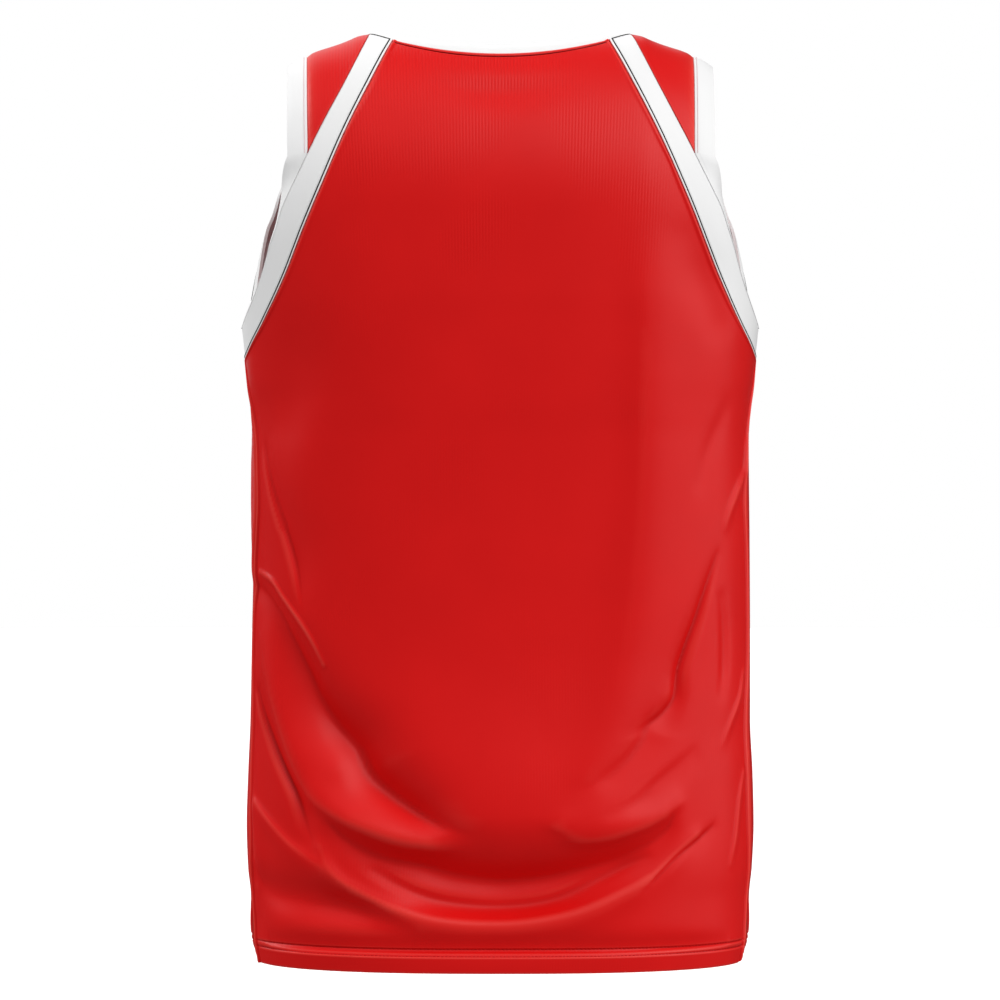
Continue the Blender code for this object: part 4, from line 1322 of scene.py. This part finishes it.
def red_cloth():
    """Satin-faced red knit with fine upright ribs, which show more in some places than in others."""
    make = Nodes("red_satin_knit")
    place = make.add("UVMap", uv_map="cloth")["UV"]
    split = make.add("SeparateXYZ", {"Vector": place})
    # The ribs show in patches, and most in the middle of the upper back.
    rib = make.math("SINE", make.math("MULTIPLY", split["X"], 2 * np.pi / RIB_PITCH))
    in_patch = make.ramp(make.noise(place, RIB_PATCHES), 0.4, 0.7)
    upper = make.ramp(split["Y"], *RIBS_START_UP)
    middle = make.ramp(make.math("ABSOLUTE", split["X"]), *RIBS_START_INWARDS)
    share = make.math("MULTIPLY_ADD", upper, middle, RIBS_ELSEWHERE)
    rib_high = make.math("MULTIPLY", rib, make.math("MULTIPLY", share, in_patch))
    # A fine grain lies over them. The red is cloudy, and across the ribs it is painted darker and paler, a painted
    # shade of the ribs.
    high = make.math("MULTIPLY_ADD", make.noise(place, RED_GRAINS), 0.25, rib_high)
    clouds_and_rib_shade = make.math("MULTIPLY_ADD", rib_high, 0.4, make.noise(place, RED_CLOUDS, 3.0))
    tint = make.mix(clouds_and_rib_shade, RED_DEEP, RED_PALE)
    # The satin is painted paler on sharp crests, a painted highlight, and deeper in sharp creases, a painted shade.
    sharpness = make.add("NewGeometry")["Pointiness"]
    crest_highlighted = make.mix(make.ramp(sharpness, *HIGHLIGHT_SHARPNESS, 0.4), tint, RED_CREST_HIGHLIGHT)
    return make.shade(
        Base_Color=make.mix(make.ramp(sharpness, *SHADE_SHARPNESS, 0.55), crest_highlighted, RED_CREASE_SHADE),
        Normal=make.bump(high, 0.4, 0.0002),
        Roughness=0.38,
        Specular_IOR_Level=0.15,
        Sheen_Weight=0.03,
        Sheen_Roughness=0.35,
    )


def white_cloth(name, levels):
    """Smooth white knit with a faint grain, between two levels of grey."""
    make = Nodes(name)
    place = make.add("TexCoord")["Object"]
    deep, pale = ((level, level, level, 1) for level in levels)
    return make.shade(
        Base_Color=make.mix(make.noise(place, WHITE_CLOUDS, 2.0), deep, pale),
        Normal=make.bump(make.noise(place, WHITE_GRAINS), 0.2, 0.0001),
        Roughness=0.5,
        Specular_IOR_Level=0.3,
    )


def thread(name, colour):
    """Twisted sewing thread, whose darker reds also paint shadow lines in the ditches."""
    make = Nodes(name)
    twist = make.noise(make.add("TexCoord")["Object"], THREAD_TWISTS)
    return make.shade(
        Base_Color=(*colour, 1.0),
        Normal=make.bump(twist, 0.4, 0.0001),
        Roughness=0.55,
        Specular_IOR_Level=0.1,
    )


def set_floor():
    """The pale floor and the white backdrop, which light nothing."""
    pale = Nodes("pale_floor").shade(
        Base_Color=(0.9, 0.9, 0.9, 1),
        Roughness=0.9,
        Emission_Color=(1, 1, 1, 1),
        Emission_Strength=FLOOR_GLOW,
    )
    bpy.ops.mesh.primitive_circle_add(
        vertices=96, radius=FLOOR_RADIUS, fill_type="NGON", location=(0, 0, FLOOR_HEIGHT)
    )
    floor = bpy.context.object
    floor.name = "floor"
    white = Nodes("backdrop_white").shade(
        Base_Color=(0, 0, 0, 1),
        Specular_IOR_Level=0,
        Emission_Color=(1, 1, 1, 1),
        Emission_Strength=1.0,
    )
    bpy.ops.mesh.primitive_uv_sphere_add(segments=48, ring_count=24, radius=BACKDROP_RADIUS)
    backdrop = bpy.context.object
    backdrop.name = "backdrop"
    backdrop.visible_shadow = False
    for each, material in ((floor, pale), (backdrop, white)):
        each.data.materials.append(material)
        for kind in ("diffuse", "glossy", "transmission", "volume_scatter"):
            setattr(each, "visible_" + kind, False)
    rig.stage(floor, backdrop)


def set_sky():
    """An even white sky that darkens away from SKY_TOWARDS, and is not mirrored in the cloth."""
    world = bpy.data.worlds.new("studio")
    world.use_nodes = True
    tree = world.node_tree
    place = tree.nodes.new("ShaderNodeTexCoord")
    dot = tree.nodes.new("ShaderNodeVectorMath")
    dot.operation = "DOT_PRODUCT"
    dot.inputs[1].default_value = Vector(SKY_TOWARDS).normalized()
    tree.links.new(place.outputs["Generated"], dot.inputs[0])
    level = tree.nodes.new("ShaderNodeMapRange")
    tree.links.new(dot.outputs["Value"], level.inputs["Value"])
    ends = {"From Min": -1.0, "From Max": SKY_EDGE, "To Min": SKY_DARKEST, "To Max": SKY_LEVEL}
    for key, value in ends.items():
        level.inputs[key].default_value = value
    background = tree.nodes["Background"]
    tree.links.new(level.outputs["Result"], background.inputs["Strength"])
    background.inputs["Color"].default_value = (1, 1, 1, 1)
    world.cycles_visibility.glossy = False
    bpy.context.scene.world = world


def stage():
    """The floor, the backdrop, the lights and the camera."""
    set_floor()
    scene = bpy.context.scene
    scene.view_settings.view_transform = "Standard"
    set_sky()
    for name, towards, strength, angle in SUNS:
        light = bpy.data.lights.new(name, "SUN")
        light.energy = strength
        light.angle = np.radians(angle)
        sun = bpy.data.objects.new(name, light)
        sun.visible_diffuse = "gloss" not in name
        sun.rotation_euler = Vector(towards).to_track_quat("Z", "Y").to_euler()
        bpy.context.collection.objects.link(sun)

    camera = bpy.data.cameras.new("camera")
    camera.lens = CAMERA_LENS
    camera.sensor_width = CAMERA_SENSOR
    camera.clip_end = CAMERA_REACH
    eye = bpy.data.objects.new("camera", camera)
    eye.location = (0, CAMERA_DISTANCE, CAMERA_HEIGHT)
    eye.rotation_euler = (np.radians(90), 0, np.radians(180))
    bpy.context.collection.objects.link(eye)
    scene.camera = eye


def bartack(name, foot, outward, material):
    """Short stitches packed one over the other across a seam, from the vent's top upwards."""
    across = unit(np.cross(outward, [0.0, 0.0, 1.0]))
    rise = np.array([0.0, 0.0, BARTACK_PITCH])
    starts = foot + THREAD * outward + rise * np.arange(BARTACKS)[:, None]
    middles = starts[:, None] + BARTACK_WIDTH * (STITCH_SHAPE["part"] - 0.5)[:, None] * across
    middles += outward * (THREAD * STITCH_SHAPE["lift"])[:, None]
    radii = np.broadcast_to(THREAD * STITCH_SHAPE["girth"], middles.shape[:2])
    return sewn(name, middles, np.broadcast_to(outward, middles.shape), radii, material)


def seams_on(name, skin, ways):
    """The seams with a thread that shows on a piece, but for the side seams: the name and kind of each,
    its line and the ways out of the cloth along it."""
    if "stripe" in name:
        upper, lower = np.s_[:YOKE_ROWS, -1], np.s_[YOKE_ROWS - 1 :, -1]
        at_arm = "front armhole" if "front" in name else "back armhole"
        yield name + "_inner_seam", "inner", skin[:, 0], ways[:, 0]
        yield name + "_neck_seam", "neck", skin[0], ways[0]
        yield name + "_outer_seam", "outer", skin[upper], ways[upper]
        yield name + "_armhole_seam", at_arm, skin[lower], ways[lower]
    if "piping" in name:
        yield name + "_panel_seam", "piping", skin[:, 0], ways[:, 0]
    if "armhole" in name:
        arm = len(SEAM_CUT) - YOKE_ROWS + 1
        by_yoke = np.s_[:, arm : skin.shape[1] - arm + 2]
        line = line_at(skin[by_yoke], from_edges(skin)[0][by_yoke], BINDING_LINE)
        yield name + "_line", "binding", line, ways[by_yoke][0]
    if "panel" in name:
        top = from_edges(skin)[0]
        neck_ways = line_at(ways, top, NECK_LINE)
        # The deep red line below the neck seam is painted shadow in its groove.
        yield name + "_neck_seam", "panel neck", line_at(skin, top, NECK_LINE), neck_ways


def ditch_thread(name, kind, line, outward, colours):
    """One thread all along a seam of a kind, which for some kinds is a painted shadow line in the ditch."""
    colour, radius, lift = SEAM_THREADS[kind]
    middles, radii = (line + lift * outward)[None], np.full((1, len(line)), radius)
    return sewn(name, middles, outward[None], radii, colours[colour])


def sew(skins, inward):
    """The threads that show, by the piece that they are on: in the ditches of the seams, some of which are painted
    shadow lines, and the stitches."""
    colours = {name: thread(name + "_thread", colour) for name, colour in THREAD_COLOURS.items()}
    threads = {name: [] for name in skins}
    for name, skin in skins.items():
        ways = -inward[name]
        on_piece = threads[name.replace("piping", "stripe")]
        on_piece += [ditch_thread(*seam, colours) for seam in seams_on(name, skin, ways)]
        if "panel" in name:
            above = LENGTH + skin[::-1, :, 2]
            for height in HEM_LINES:
                outward = line_at(ways[::-1], above, height)
                line = line_at(skin[::-1], above, height) - HEM_SINK * outward
                row = f"{name}_hem_stitches_{height:.0f}"
                on_piece.append(stitches(row, line, outward, colours["red"]))
    for left in (True, False):
        edge = np.s_[UNDERARM_FINE : VENT_FINE + 1, -1 if left else 0]
        line, outward = skins["back_panel"][edge], -inward["back_panel"][edge]
        # The side seams' deep red lines are painted shadow in the ditch.
        threads["back_panel"] += [
            ditch_thread("side_seam_" + side_name(left), "side", line, outward, colours),
            bartack("bartack_" + side_name(left), line[-1], outward[-1], colours["red"]),
        ]
    return threads


def declare_cloth(made, threads):
    """States every piece's cut, with the threads and the piping that go with it."""
    for name, piece in made.items():
        if "piping" in name:
            continue
        side = name.rpartition("_")[2]
        kind = name.removesuffix("_left").removesuffix("_right")
        sides = [side] if side in ("left", "right") else ["left", "right"]
        hangs_from = [made["shoulder_yoke_" + each] for each in sides if "yoke" not in name]
        with_it = threads[name] + ([made[name.replace("stripe", "piping")]] if "stripe" in name else [])
        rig.sheet(piece, rests_on=hangs_from, with_pieces=with_it, **CUTS[kind])


def build():
    """Makes every piece of the jersey and stands it for its solid."""
    red = red_cloth()
    # The white's inside is the same knit in a darker grey, as a painted shade.
    white, inside = white_cloth("white_knit", WHITE), white_cloth("white_knit_inside_shade", WHITE_INSIDE_SHADE)
    grids = {"back_panel": panel(False), "front_panel": panel(True)}
    for left in (True, False):
        side = side_name(left)
        for front in (False, True):
            half = "front_" if front else "back_"
            grids[half + "stripe_" + side] = stripe(left, front)
            grids[half + "piping_" + side] = piping(left, front)
        grids["shoulder_yoke_" + side] = yoke(left)
    skins = {name: cloth(grid) for name, grid in grids.items()}
    round_hem(skins["back_panel"])
    skins["neck_binding"] = neck_binding(skins)
    rings = {"neck_binding"}
    for left in (True, False):
        name = "armhole_binding_" + side_name(left)
        rings.add(name)
        skins[name] = armhole_binding(left, skins)
    turned, inward = shared_normals(skins, rings)
    made = {}
    for name, skin in skins.items():
        is_red = "panel" in name or "yoke" in name
        materials = (red, red) if is_red else (white, inside)
        piece = wall(name + "_cloth", skin, turned[name], inward[name], name in rings, materials)
        if name in grids:
            girth = girth_of(grids[name][..., 0])
            write_map(piece, np.stack([girth, -grids[name][..., 1] * MM], -1))
        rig.replaces(piece, name)
        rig.slot(piece, "red_cloth" if is_red else "white_cloth")
        made[name] = piece
    declare_cloth(made, sew(skins, inward))


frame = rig.load()
cad_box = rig.bounds()
build()
stage()
with open("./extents.json", "w") as sizes:
    json.dump({
        name: [list(corner) for corner in box] for name, box in (("cad", cad_box), ("visual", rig.bounds()))
    }, sizes)
